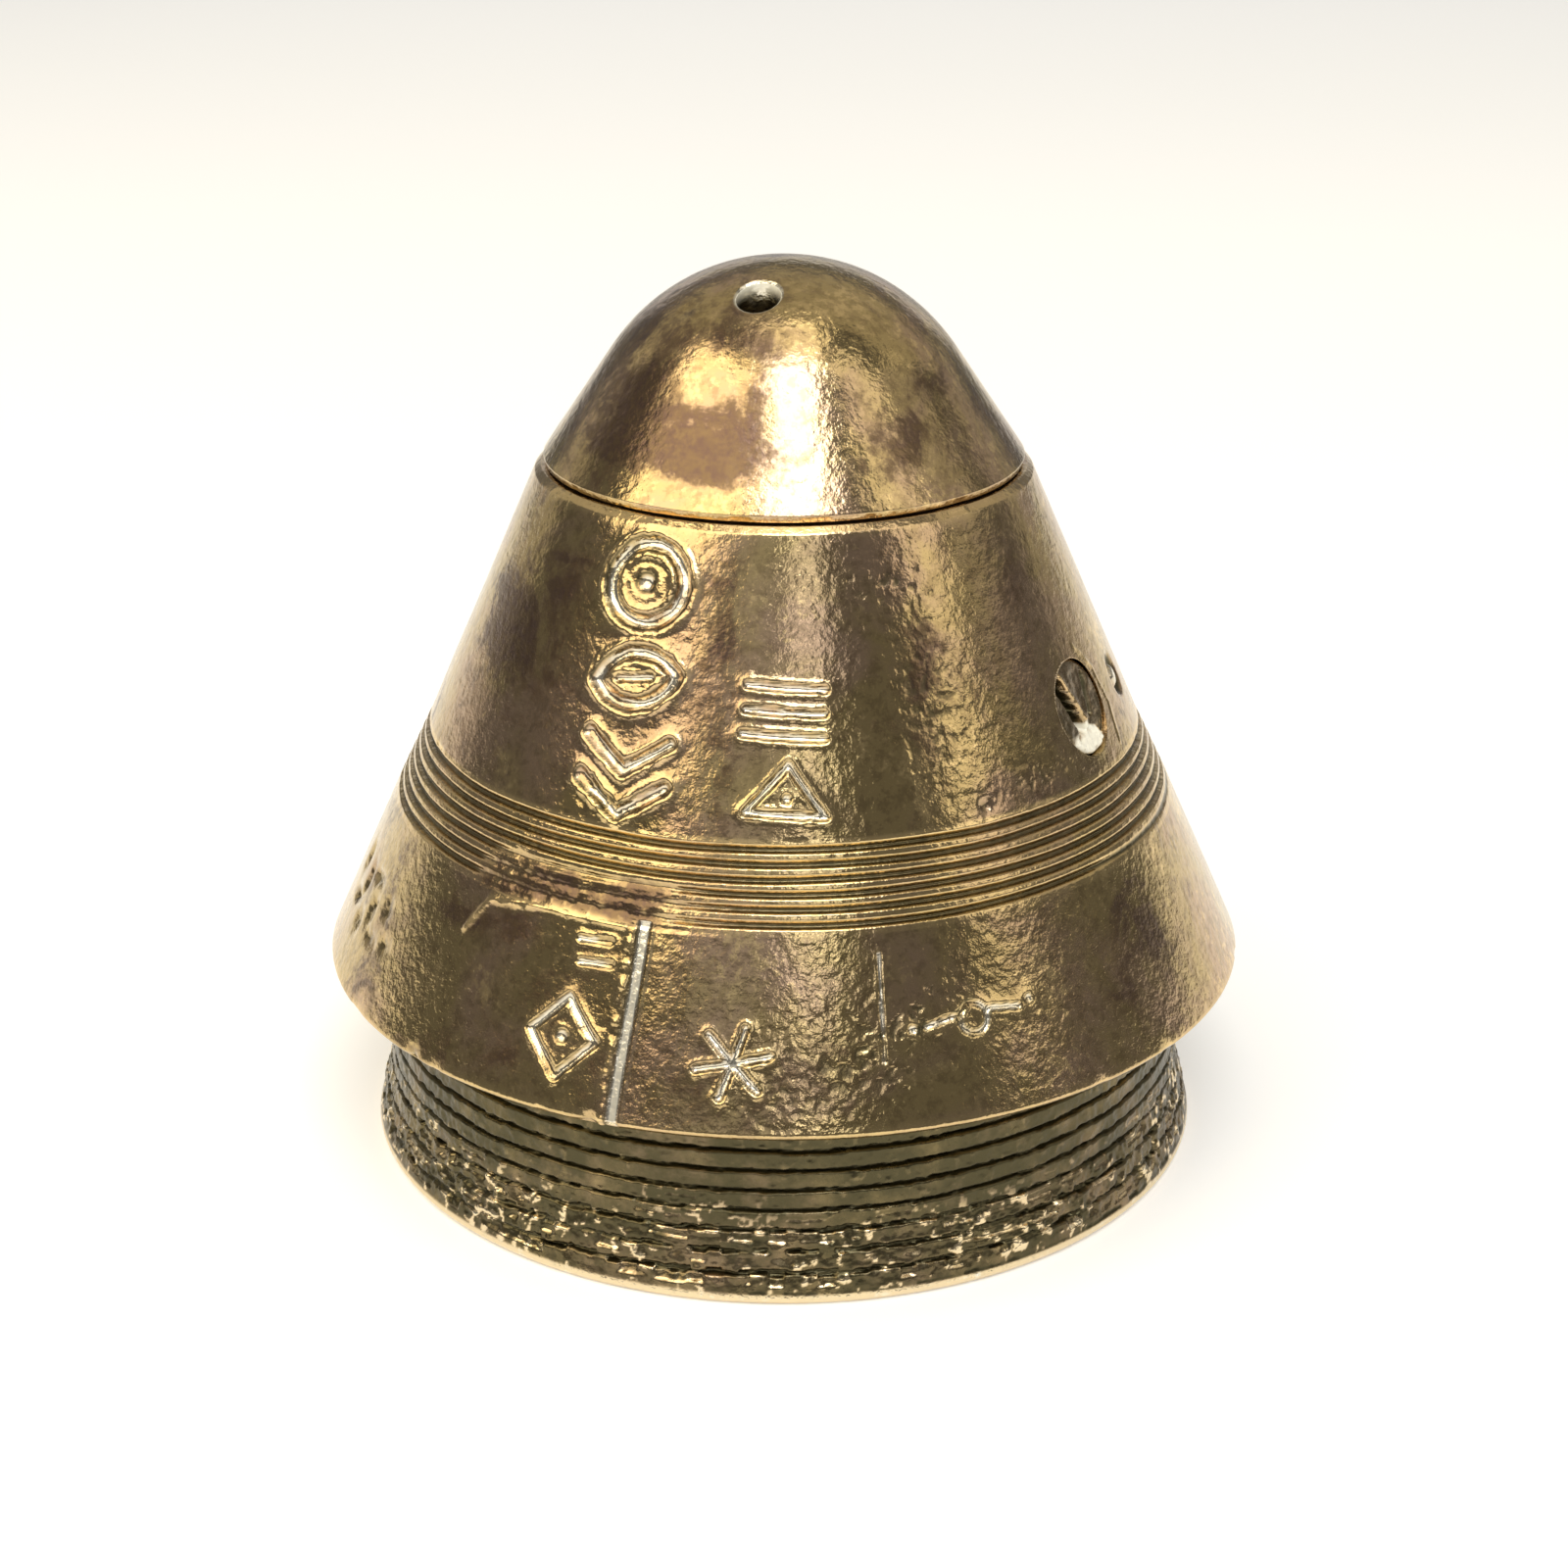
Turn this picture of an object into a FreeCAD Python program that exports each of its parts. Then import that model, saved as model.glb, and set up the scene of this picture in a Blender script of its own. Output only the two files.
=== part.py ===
import FreeCAD, Part
import Sketcher
import math
import os

# Hollow brass plumb bob, cone-shaped, with a loaded core.
# Its own frame: +Z is the axis of the bob and points at the domed cap, the origin is the centre of
# the flat base, and the two line holes lie on the Y axis. Millimetres and degrees.
# Angles round the axis are bearings: 0 is the -Y side, and they grow towards +X.

DIMENSIONS = (
    # Threaded foot: its crests flare towards the base.
    ("base_r", 25.0, "outer radius of the flat base"),
    ("base_z", 0.0, "height of the flat base"),
    ("rim_r", 25.3, "radius of the rim above the base chamfer"),
    ("rim_z", 0.4, "top of the base chamfer"),
    ("flare_r", 24.3, "crest radius where the flare ends"),
    ("flare_z", 4.2, "height where the flare ends"),
    ("shank_r", 23.8, "crest radius at the top of the thread"),
    ("shank_z", 10.2, "top of the thread"),
    ("neck_r", 23.1, "radius of the relief under the skirt"),
    ("thread_pitch", 1.18, "spacing of the foot's thread"),
    ("thread_first_z", 1.3, "height of the lowest thread root"),
    ("thread_root", 0.36, "radius of a thread root"),
    # Skirt, grooved band and upper cone.
    ("under_r", 27.3, "radius of the skirt's underside"),
    ("under_z", 11.5, "height of the skirt's underside"),
    ("skirt_r", 27.6, "largest radius of the bob"),
    ("skirt_z", 11.8, "height of the largest radius"),
    ("band_r", 23.1, "radius at the lower edge of the grooved band"),
    ("band_z", 21.6, "height of that edge"),
    ("cone_r", 21.0, "radius at the upper edge of the grooved band"),
    ("cone_z", 25.9, "height of that edge"),
    ("lip_r", 14.38, "radius at the foot of the lip chamfer"),
    ("lip_z", 40.85, "height of the foot of the lip chamfer"),
    ("top_r", 14.0, "outer radius of the body's top face"),
    ("top_z", 41.2, "height of the body's top face"),
    ("groove_first_z", 21.95, "height of the lowest groove of the band"),
    ("groove_step", 0.72, "spacing in height of the grooves"),
    ("groove_root", 0.27, "radius of a groove's section"),
    # Bores of the body, from the base up.
    ("plug_socket_r", 17.5, "radius of the base plug's socket"),
    ("plug_socket_z", 4.5, "height of the shoulder above the socket"),
    ("chamber_r", 16.0, "radius of the wide ballast chamber"),
    ("chamber_z", 19.0, "top of the wide ballast chamber"),
    ("shaft_r", 9.5, "radius of the narrow ballast chamber"),
    ("cap_socket_r", 10.45, "radius of the cap's socket"),
    ("cap_socket_z", 35.4, "bottom of the cap's socket"),
    # Domed cap.
    ("cap_edge_r", 13.72, "radius of the cap's underside"),
    ("cap_edge_z", 41.6, "height of the cap's underside"),
    ("cap_r", 13.88, "radius of the cap above its lower edge"),
    ("cap_z", 41.8, "height of that radius"),
    ("cap_slope", 34.8, "half angle of the cap's cone"),
    ("dome_r", 12.0, "radius of the dome"),
    ("spigot_r", 10.4, "radius of the cap's threaded spigot"),
    ("spigot_z", 36.2, "lower end of the spigot"),
    ("cavity_r", 7.2, "radius of the cap's cavity"),
    ("cavity_z", 48.7, "ceiling of the cap's cavity"),
    ("line_hole_r", 1.25, "radius of a line hole"),
    ("line_hole_offset", 4.95, "distance of a line hole from the axis"),
    # Small pieces.
    ("washer_play", 0.02, "gap on each face of a washer"),
    ("cap_washer_in_r", 10.6, "inner radius of the cap washer"),
    ("cap_washer_out_r", 13.5, "outer radius of the cap washer"),
    ("plug_r", 17.45, "radius of the base plug"),
    ("plug_z", 0.8, "outer face of the base plug"),
    ("plug_top_z", 4.0, "inner face of the base plug"),
    ("plug_chamfer", 0.4, "chamfer of the base plug's outer edge"),
    ("key_hole_r", 1.5, "radius of a spanner hole"),
    ("key_hole_offset", 10.0, "distance of a spanner hole from the axis"),
    ("key_hole_depth", 2.2, "depth of a spanner hole"),
    ("plug_washer_in_r", 15.0, "inner radius of the plug washer"),
    ("plug_washer_out_r", 17.3, "outer radius of the plug washer"),
    ("pad_r", 14.6, "radius of the felt pad"),
    ("pad_z", 4.1, "underside of the felt pad"),
    ("core_z", 5.5, "underside of the ballast core"),
    ("core_play", 0.15, "gap between the ballast core and its chamber"),
    ("core_top_z", 33.0, "top of the ballast core"),
    # Locking screw in the side of the cone, on a level axis.
    ("screw_bearing", 76.0, "bearing of the locking screw"),
    ("screw_z", 29.4, "height of the locking screw's axis"),
    ("screw_hole_r", 2.6, "radius of the locking screw's hole"),
    ("screw_r", 2.55, "radius of the locking screw"),
    ("screw_in_r", 9.45, "distance of the screw's shoulder from the axis"),
    ("screw_sink", 0.25, "depth of the screw's slotted end below the cone's surface"),
    ("screw_tip_r", 1.6, "radius of the screw's dog point"),
    ("screw_tip", 1.0, "length of the dog point"),
    ("screw_slot", 0.8, "width and depth of the screwdriver slot"),
    ("screw_slot_tilt", 22.0, "angle between the slot and the line straight up the cone"),
    ("stake_bearing", 95.5, "bearing of the punch mark beside the screw"),
    ("stake_r", 0.45, "radius of the punch mark"),
    ("stake_depth", 0.6, "depth of the punch mark"),
    # Index line scribed down the skirt.
    ("index_bearing", -2.8, "bearing of the index line"),
    ("index_width", 0.45, "width of the index line"),
    ("index_depth", 0.25, "depth of the index line"),
)

BAND_GROOVES = 6
THREAD_ROOTS = 8
MARGIN = 1.0  # how far a cutting tool runs past the face that it opens

doc = FreeCAD.newDocument("PlumbBob")
sheet = doc.addObject("Spreadsheet::Sheet", "dims")
for row, (alias, value, meaning) in enumerate(DIMENSIONS, start=1):
    sheet.set("A%d" % row, alias)
    sheet.set("B%d" % row, str(value))
    sheet.setAlias("B%d" % row, alias)
    sheet.set("C%d" % row, meaning)
doc.recompute()


# ---- Part primitives and booleans -------------------------------------------------------------

def primitive(kind, name, **sizes):
    """A Part primitive whose properties are bound to expressions; z is its height."""
    solid = doc.addObject("Part::" + kind, name)
    for size, expression in sizes.items():
        solid.setExpression("Placement.Base." + size if size in "xyz" else size, expression)
    return solid


def cylinder(name, radius, low, high):
    """An upright cylinder between two heights."""
    return primitive("Cylinder", name, Radius=radius, Height="(%s) - (%s)" % (high, low), z=low)


def turned(name, *corners):
    """A turned solid: one cone frustum between each corner (NAME_r, NAME_z) and the next."""
    steps = [primitive("Cone", "%s_%s" % (name, lower),
                       Radius1="dims.%s_r" % lower, Radius2="dims.%s_r" % upper,
                       Height="dims.%s_z - dims.%s_z" % (upper, lower), z="dims.%s_z" % lower)
             for lower, upper in zip(corners, corners[1:])]
    return steps


def ring_groove(name, ring_radius, section_radius, height):
    """The round-bottomed tool that cuts one groove round the bob."""
    return primitive("Torus", name, Radius1=ring_radius, Radius2=section_radius, z=height)


def fused(name, solids):
    """One solid made of several."""
    union = doc.addObject("Part::MultiFuse", name)
    union.Shapes = solids
    union.Refine = True
    return union


def shared(name, solids):
    """The part that several solids have in common."""
    common = doc.addObject("Part::MultiCommon", name)
    common.Shapes = solids
    return common


def cut(name, base, tools):
    """The base with every tool taken out of it."""
    difference = doc.addObject("Part::Cut", name)
    difference.Base = base
    difference.Tool = tools[0] if len(tools) == 1 else fused(name + "_tools", tools)
    difference.Refine = True
    return difference


def sheet_value(alias):
    """A driving dimension as a number."""
    return float(sheet.get(alias))


def outward(bearing):
    """The level unit vector at a bearing."""
    angle = math.radians(bearing)
    return FreeCAD.Vector(math.sin(angle), -math.cos(angle), 0)


def lay_radially(solid, bearing, distance, height):
    """Turns a solid's own Z axis to the bearing and starts it that far from the bob's axis."""
    direction = outward(bearing)
    start = direction * distance + FreeCAD.Vector(0, 0, height)
    solid.Placement = FreeCAD.Placement(start, FreeCAD.Rotation(FreeCAD.Vector(0, 0, 1), direction))
    return solid


# ---- PartDesign bodies ------------------------------------------------------------------------

def flat_sketch(body, name, circles, height="0"):
    """A level sketch of circles (x, radius) at a height, every size bound to the sheet."""
    sketch = body.newObject("Sketcher::SketchObject", name)
    plane = [item for item in body.Origin.OriginFeatures if item.Role == "XY_Plane"][0]
    sketch.AttachmentSupport = (plane, "")
    sketch.MapMode = "FlatFace"
    sketch.setExpression("AttachmentOffset.Base.z", height)
    for index, (offset, radius) in enumerate(circles):
        centre = FreeCAD.Vector(sheet_value(offset) if offset else 0, 0, 0)
        sketch.addGeometry(Part.Circle(centre, FreeCAD.Vector(0, 0, 1), sheet_value(radius)), False)
        sketch.addConstraint(Sketcher.Constraint("Radius", index, sheet_value(radius)))
        sketch.setExpression("Constraints[%d]" % (sketch.ConstraintCount - 1), "dims." + radius)
        if offset:
            sketch.addConstraint(Sketcher.Constraint("PointOnObject", index, 3, -1))
            sketch.addConstraint(Sketcher.Constraint("DistanceX", -1, 1, index, 3, centre.x))
            sketch.setExpression("Constraints[%d]" % (sketch.ConstraintCount - 1), "dims." + offset)
        else:
            sketch.addConstraint(Sketcher.Constraint("Coincident", index, 3, -1, 1))
    return sketch


def pad(body, sketch, name, thickness):
    """A pad upwards from a sketch."""
    feature = body.newObject("PartDesign::Pad", name)
    feature.Profile = sketch
    feature.setExpression("Length", thickness)
    sketch.Visibility = False
    return feature


def edge_at(shape, radius, height):
    """The name of the circular edge with that radius at that height."""
    for number, edge in enumerate(shape.Edges, start=1):
        level = abs(edge.BoundBox.ZMin - height) < 1e-4 and abs(edge.BoundBox.ZMax - height) < 1e-4
        if level and hasattr(edge.Curve, "Radius") and abs(edge.Curve.Radius - radius) < 1e-4:
            return "Edge%d" % number
    raise ValueError("no edge of radius %s at height %s" % (radius, height))


def disc(name, radii, low, high):
    """A flat round piece as a PartDesign body: an outer radius and perhaps an inner one."""
    body = doc.addObject("PartDesign::Body", name)
    sketch = flat_sketch(body, name + "_outline", [(None, radius) for radius in radii], low)
    pad(body, sketch, name + "_pad", "(%s) - (%s)" % (high, low))
    return body


# ---- The pieces -------------------------------------------------------------------------------

def make_body():
    """The brass body: threaded foot, skirt, grooved band and cone round the bores."""
    foot = turned("foot", "base", "rim", "flare", "shank")
    neck = cylinder("neck", "dims.neck_r", "dims.shank_z", "dims.under_z")
    cone = turned("cone", "under", "skirt", "band", "cone", "lip", "top")
    outside = fused("outside", foot + [neck] + cone)
    bores = [
        cylinder("plug_socket", "dims.plug_socket_r", "-%s" % MARGIN, "dims.plug_socket_z"),
        cylinder("chamber", "dims.chamber_r", "0", "dims.chamber_z"),
        cylinder("shaft", "dims.shaft_r", "0", "dims.cap_socket_z + %s" % MARGIN),
        cylinder("cap_socket", "dims.cap_socket_r", "dims.cap_socket_z", "dims.top_z + %s" % MARGIN),
    ]
    rings = []
    for index in range(BAND_GROOVES):
        height = "dims.groove_first_z + %d * dims.groove_step" % index
        taper = "(dims.band_r - dims.cone_r) / (dims.cone_z - dims.band_z)"
        radius = "dims.band_r - (%s - dims.band_z) * %s" % (height, taper)
        rings.append(ring_groove("band_groove_%d" % index, radius, "dims.groove_root", height))
    for index in range(THREAD_ROOTS):
        height = "dims.thread_first_z + %d * dims.thread_pitch" % index
        flared = "(dims.rim_r - (%s - dims.rim_z) * %s)"
        flare = flared % (height, "(dims.rim_r - dims.flare_r) / (dims.flare_z - dims.rim_z)")
        straight = "(dims.flare_r - (%s - dims.flare_z) * %s)" % (
            height, "(dims.flare_r - dims.shank_r) / (dims.shank_z - dims.flare_z)")
        radius = "%s < dims.flare_z ? %s : %s" % (height, flare, straight)
        rings.append(ring_groove("thread_root_%d" % index, radius, "dims.thread_root", height))
    screw_hole = primitive("Cylinder", "screw_hole", Radius="dims.screw_hole_r", Height="dims.skirt_r")
    lay_radially(screw_hole, sheet_value("screw_bearing"), 0, sheet_value("screw_z"))
    body = cut("body", outside, bores + rings + [screw_hole, stake_mark(), index_line()])
    return body


def cone_radius(height):
    """Radius of the upper cone's surface at a height."""
    low, high = sheet_value("cone_z"), sheet_value("lip_z")
    share = (height - low) / (high - low)
    return sheet_value("cone_r") + share * (sheet_value("lip_r") - sheet_value("cone_r"))


def stake_mark():
    """The punch mark beside the locking screw."""
    mark = primitive("Cylinder", "stake_mark", Radius="dims.stake_r",
                     Height="dims.stake_depth + %s" % MARGIN)
    start = cone_radius(sheet_value("screw_z")) - sheet_value("stake_depth")
    return lay_radially(mark, sheet_value("stake_bearing"), start, sheet_value("screw_z"))


def index_line():
    """The groove scribed down the skirt, laid along the skirt's slope."""
    low = FreeCAD.Vector(0, -sheet_value("skirt_r"), sheet_value("skirt_z"))
    high = FreeCAD.Vector(0, -sheet_value("band_r"), sheet_value("band_z"))
    slope = high - low
    groove = primitive("Box", "index_line", Width="dims.index_width",
                       Height="2 * dims.index_depth")
    groove.Length = slope.Length + MARGIN
    # The box's own X runs up the slope, its Y across it, and its Z out of the surface.
    across = FreeCAD.Vector(1, 0, 0)
    up_slope = slope.normalize()
    out = across.cross(up_slope) * -1
    rotation = FreeCAD.Rotation(up_slope, across, out, "XYZ")
    corner = low - up_slope * MARGIN - across * (sheet_value("index_width") / 2)
    corner = corner - out * sheet_value("index_depth")
    groove.Placement = FreeCAD.Placement(corner, rotation)
    turn = FreeCAD.Placement(FreeCAD.Vector(), FreeCAD.Rotation(
        FreeCAD.Vector(0, 0, 1), sheet_value("index_bearing")))
    groove.Placement = turn.multiply(groove.Placement)
    return groove


def make_nose_cap():
    """The domed brass cap: cone, dome, hollow threaded spigot and two line holes."""
    slope = "dims.cap_slope"
    centre = "dims.cap_z + dims.cap_r / tan(%s) - dims.dome_r / sin(%s)" % (slope, slope)
    edge = primitive("Cone", "cap_edge", Radius1="dims.cap_edge_r", Radius2="dims.cap_r",
                     Height="dims.cap_z - dims.cap_edge_z", z="dims.cap_edge_z")
    flank = primitive("Cone", "cap_flank", Radius1="dims.cap_r",
                      Radius2="dims.dome_r * cos(%s)" % slope,
                      Height="%s + dims.dome_r * sin(%s) - dims.cap_z" % (centre, slope),
                      z="dims.cap_z")
    dome = primitive("Sphere", "cap_dome", Radius="dims.dome_r", Angle1=slope, z=centre)
    spigot = cylinder("cap_spigot", "dims.spigot_r", "dims.spigot_z", "dims.cap_z")
    solid = fused("cap_solid", [edge, flank, dome, spigot])
    cavity = cylinder("cap_cavity", "dims.cavity_r", "dims.spigot_z - %s" % MARGIN, "dims.cavity_z")
    holes = []
    for side, sign in (("front", "-"), ("back", "")):
        hole = cylinder("line_hole_" + side, "dims.line_hole_r", "dims.cavity_z - %s" % MARGIN,
                        "dims.cap_z + dims.dome_r")
        hole.setExpression("Placement.Base.y", sign + "dims.line_hole_offset")
        holes.append(hole)
    return cut("nose_cap", solid, [cavity] + holes)


def make_base_plug():
    """The screwed disc that closes the ballast chamber, with two holes for a pin spanner."""
    body = disc("base_plug", ["plug_r"], "dims.plug_z", "dims.plug_top_z")
    doc.recompute()
    blank = body.Tip
    chamfer = body.newObject("PartDesign::Chamfer", "plug_chamfer")
    chamfer.Base = (blank, [edge_at(blank.Shape, sheet_value("plug_r"), sheet_value("plug_z"))])
    chamfer.setExpression("Size", "dims.plug_chamfer")
    sketch = flat_sketch(body, "key_hole_outline", [("key_hole_offset", "key_hole_r")], "dims.plug_z")
    hole = body.newObject("PartDesign::Pocket", "key_hole")
    hole.Profile = sketch
    hole.Reversed = True
    hole.setExpression("Length", "dims.key_hole_depth")
    pattern = body.newObject("PartDesign::PolarPattern", "key_holes")
    pattern.Originals = [hole]
    axis = [item for item in body.Origin.OriginFeatures if item.Role == "Z_Axis"][0]
    pattern.Axis = (axis, [""])
    pattern.Angle = 360
    pattern.Occurrences = 2
    body.Tip = pattern
    return body


def make_ballast_core():
    """The stepped lead slug, with the dimple that takes the locking screw's point."""
    wide = cylinder("core_wide", "dims.chamber_r - dims.core_play", "dims.core_z",
                    "dims.chamber_z - dims.core_play")
    narrow = cylinder("core_narrow", "dims.shaft_r - dims.core_play", "dims.core_z", "dims.core_top_z")
    dimple = primitive("Cylinder", "core_dimple", Radius="dims.screw_tip_r + dims.core_play",
                       Height="dims.shaft_r")
    depth = sheet_value("screw_in_r") - sheet_value("screw_tip") - sheet_value("core_play")
    lay_radially(dimple, sheet_value("screw_bearing"), depth, sheet_value("screw_z"))
    return cut("ballast_core", fused("core_solid", [wide, narrow]), [dimple])


def make_locking_screw():
    """The headless slotted screw that locks the ballast core, its end filed to the cone's slope."""
    bearing, height = sheet_value("screw_bearing"), sheet_value("screw_z")
    shank = primitive("Cylinder", "screw_shank", Radius="dims.screw_r",
                      Height="dims.cone_r - dims.screw_in_r")
    lay_radially(shank, bearing, sheet_value("screw_in_r"), height)
    tip = primitive("Cylinder", "screw_point", Radius="dims.screw_tip_r",
                    Height="dims.screw_tip + %s" % MARGIN)
    lay_radially(tip, bearing, sheet_value("screw_in_r") - sheet_value("screw_tip"), height)
    slope = primitive("Cone", "screw_slope", Radius1="dims.cone_r - dims.screw_sink",
                      Radius2="dims.lip_r - dims.screw_sink", Height="dims.lip_z - dims.cone_z",
                      z="dims.cone_z")
    filed = shared("screw_filed", [fused("screw_solid", [shank, tip]), slope])
    return cut("locking_screw", filed, [screw_slot(bearing, height)])


def screw_slot(bearing, height):
    """The screwdriver slot, of the same depth all along the screw's sloping end."""
    slot = primitive("Box", "screw_slot", Length="dims.screw_slot", Width="4 * dims.screw_r",
                     Height="dims.screw_slot + %s" % MARGIN)
    fall = math.atan2(sheet_value("cone_r") - sheet_value("lip_r"),
                      sheet_value("lip_z") - sheet_value("cone_z"))
    # The box's own Y runs up the cone, its X across it, and its Z out of the surface.
    across, upright = FreeCAD.Vector(1, 0, 0), FreeCAD.Vector(0, 0, 1)
    rotation = FreeCAD.Rotation(upright, bearing)
    rotation = rotation.multiply(FreeCAD.Rotation(across, 90 - math.degrees(fall)))
    rotation = rotation.multiply(FreeCAD.Rotation(upright, sheet_value("screw_slot_tilt")))
    middle = outward(bearing) * (cone_radius(height) - sheet_value("screw_sink"))
    corner = FreeCAD.Vector(-sheet_value("screw_slot") / 2, -2 * sheet_value("screw_r"),
                            -sheet_value("screw_slot"))
    start = middle + upright * height + rotation.multVec(corner)
    slot.Placement = FreeCAD.Placement(start, rotation)
    return slot


def make_pieces():
    """Every separate piece of the bob."""
    play = "dims.washer_play"
    return [
        make_body(),
        make_nose_cap(),
        disc("cap_washer", ["cap_washer_out_r", "cap_washer_in_r"],
             "dims.top_z + " + play, "dims.cap_edge_z - " + play),
        make_ballast_core(),
        make_locking_screw(),
        disc("ballast_pad", ["pad_r"], "dims.pad_z", "dims.core_z"),
        disc("plug_washer", ["plug_washer_out_r", "plug_washer_in_r"],
             "dims.plug_top_z + " + play, "dims.plug_socket_z - " + play),
        make_base_plug(),
    ]


def check_document():
    """Stops if any object of the document failed to recompute."""
    for item in doc.Objects:
        if "Invalid" in item.State or "Error" in item.State:
            raise RuntimeError("%s is %s" % (item.Label, item.State))


def export(pieces):
    """Writes one STEP file for each piece."""
    os.makedirs("parts", exist_ok=True)
    for piece in pieces:
        shape = piece.Shape
        if shape.isNull() or not shape.isValid():
            raise RuntimeError("%s has no valid shape" % piece.Label)
        print("%s: %.1f mm3, %d solid(s)" % (piece.Label, shape.Volume, len(shape.Solids)))
        shape.exportStep("parts/%s.step" % piece.Label)


pieces = make_pieces()
doc.recompute()
check_document()
export(pieces)
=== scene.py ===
"""Looks of the brass plumb bob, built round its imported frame.

Positions are worked out in millimetres and written to meshes in metres. A point of a turned
surface is given by its bearing, which is 0 on the -Y side and grows towards +X, its radius and
its height. A grid of such points, rows up the outline and columns round the axis, makes a shell.
"""

import math

import bpy
import numpy as np
from mathutils import Matrix, Vector


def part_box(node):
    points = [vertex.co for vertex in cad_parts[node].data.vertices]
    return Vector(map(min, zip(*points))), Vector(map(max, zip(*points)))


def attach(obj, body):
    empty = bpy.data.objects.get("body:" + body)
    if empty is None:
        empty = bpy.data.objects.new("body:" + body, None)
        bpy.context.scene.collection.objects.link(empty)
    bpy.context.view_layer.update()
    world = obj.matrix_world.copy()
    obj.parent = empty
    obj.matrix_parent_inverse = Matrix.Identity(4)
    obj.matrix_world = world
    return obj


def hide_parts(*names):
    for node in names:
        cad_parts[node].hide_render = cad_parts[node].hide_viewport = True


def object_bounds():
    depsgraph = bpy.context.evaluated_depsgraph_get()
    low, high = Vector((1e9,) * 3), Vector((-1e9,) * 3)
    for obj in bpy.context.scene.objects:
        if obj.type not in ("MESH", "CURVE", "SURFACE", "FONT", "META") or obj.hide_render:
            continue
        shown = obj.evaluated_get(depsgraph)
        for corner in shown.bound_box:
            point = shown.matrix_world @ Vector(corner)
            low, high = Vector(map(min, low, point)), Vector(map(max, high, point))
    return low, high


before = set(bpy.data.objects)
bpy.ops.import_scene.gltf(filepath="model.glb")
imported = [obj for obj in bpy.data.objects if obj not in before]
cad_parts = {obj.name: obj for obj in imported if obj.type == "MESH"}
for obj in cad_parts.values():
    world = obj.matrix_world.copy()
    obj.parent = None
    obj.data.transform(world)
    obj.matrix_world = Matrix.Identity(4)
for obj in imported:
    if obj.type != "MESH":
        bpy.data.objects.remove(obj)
CAD_LOW, CAD_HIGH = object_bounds()

MM = 0.001
FULL_TURN = 2 * math.pi
BAKE_MAP, MAP_TOP = "OFBake", 0.95


# ---- Sizes in mm, from the frame where it has them ---------------------------------------------

BODY_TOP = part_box("body")[1].z / MM
BOB_TOP = CAD_HIGH.z / MM
SKIRT_R = CAD_HIGH.x / MM
CAP_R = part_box("nose_cap")[1].x / MM
SPIGOT_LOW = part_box("nose_cap")[0].z / MM
PLUG_LOW, PLUG_HIGH = (corner.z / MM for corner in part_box("base_plug"))
PLUG_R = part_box("base_plug")[1].x / MM

FOOT_PITCH, FOOT_DEPTH, FOOT_TOP = 1.18, 0.42, 10.2
FOOT_R, FOOT_MID_R, FOOT_MID_Z, FOOT_TOP_R, NECK_R = 25.0, 24.3, 4.2, 23.8, 23.1
FOOT_BLOCKS, FOOT_LONG_BLOCKS = 170, 64
SKIRT_UNDER, SKIRT_Z = 11.5, 11.8
BAND_Z, BAND_R, CONE_Z, CONE_R, LIP_Z, LIP_R = 21.6, 23.1, 25.9, 21.0, 40.85, 14.38
GROOVES, FIRST_GROOVE, GROOVE_STEP, GROOVE_DEPTH = 6, 21.95, 0.72, 0.27
CAP_LOW, CAP_SLOPE, DOME_R, CAVITY_R, CAVITY_TOP = 41.6, math.radians(34.8), 12.0, 7.2, 48.7
CAP_RIM, WASHER_R = 41.30, 13.56
THREAD_PITCH, THREAD_GAP = 1.27, 0.1
# The plug's thread is the shallower one, so that its washer can pass the ridges in the socket.
CAP_THREAD_DEPTH, PLUG_THREAD_DEPTH = 0.42, 0.22
SPIGOT_R, SPIGOT_SOCKET_Z = 10.4, 35.4
PLUG_BORE_R, SPIGOT_BORE_R = PLUG_R + THREAD_GAP, SPIGOT_R + THREAD_GAP
PLUG_SOCKET_Z, CHAMBER_R, CHAMBER_Z, SHAFT_R = 4.5, 16.0, 19.0, 9.5
SCREW_BEARING, SCREW_Z, SCREW_HOLE_R = 76.0, 29.4, 2.6
SCREW_R, SCREW_IN, SCREW_OUT, POINT_R = 2.55, 9.45, 19.2, 1.6
LINE_HOLE_R, LINE_HOLE_Y, LINE_MOUTH_R, LINE_MOUTH_DEPTH = 1.25, 4.95, 1.42, 0.15
KEY_HOLE_R, KEY_HOLE_X, KEY_HOLE_DEPTH = 1.5, 10.0, 2.2
STAKE_BEARING, STAKE_Z, STAKE_WIDE, STAKE_TALL = 95.5, 29.2, 0.9, 0.95

# The scribed line: bearing and lean in degrees, and where across it the thicker burr is.
INDEX_BEARING, INDEX_LEAN, INDEX_DEPTH, INDEX_BURR = -2.3, 0.9, 0.12, -0.66
MARK_REACH = 4.5

# The value of the attribute for paleness and painted highlight at which the brass is a dull white.
CHALKY = 1.5

# Angles are in degrees, reach and height in metres, and the lens in mm.
CAMERA_BEARING, CAMERA_DIP = 16.4, 21.97
CAMERA_REACH, CAMERA_HEIGHT, CAMERA_LENS, SENSOR = 0.1577, 0.0844, 64.5, 36
FLOOR_GLOW, WORLD_GLOW, LIGHTS_AIM = 0.32, 0.19, 0.03


# ---- Numbers that vary smoothly ----------------------------------------------------------------

def step(x, low, high):
    """0 below low, 1 above high, smooth between."""
    t = np.clip((x - low) / (high - low), 0, 1)
    return t * t * (3 - 2 * t)


def bell(x, centre, width):
    """A bump of height 1 about a centre."""
    return np.exp(-((x - centre) / width) ** 2)


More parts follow.
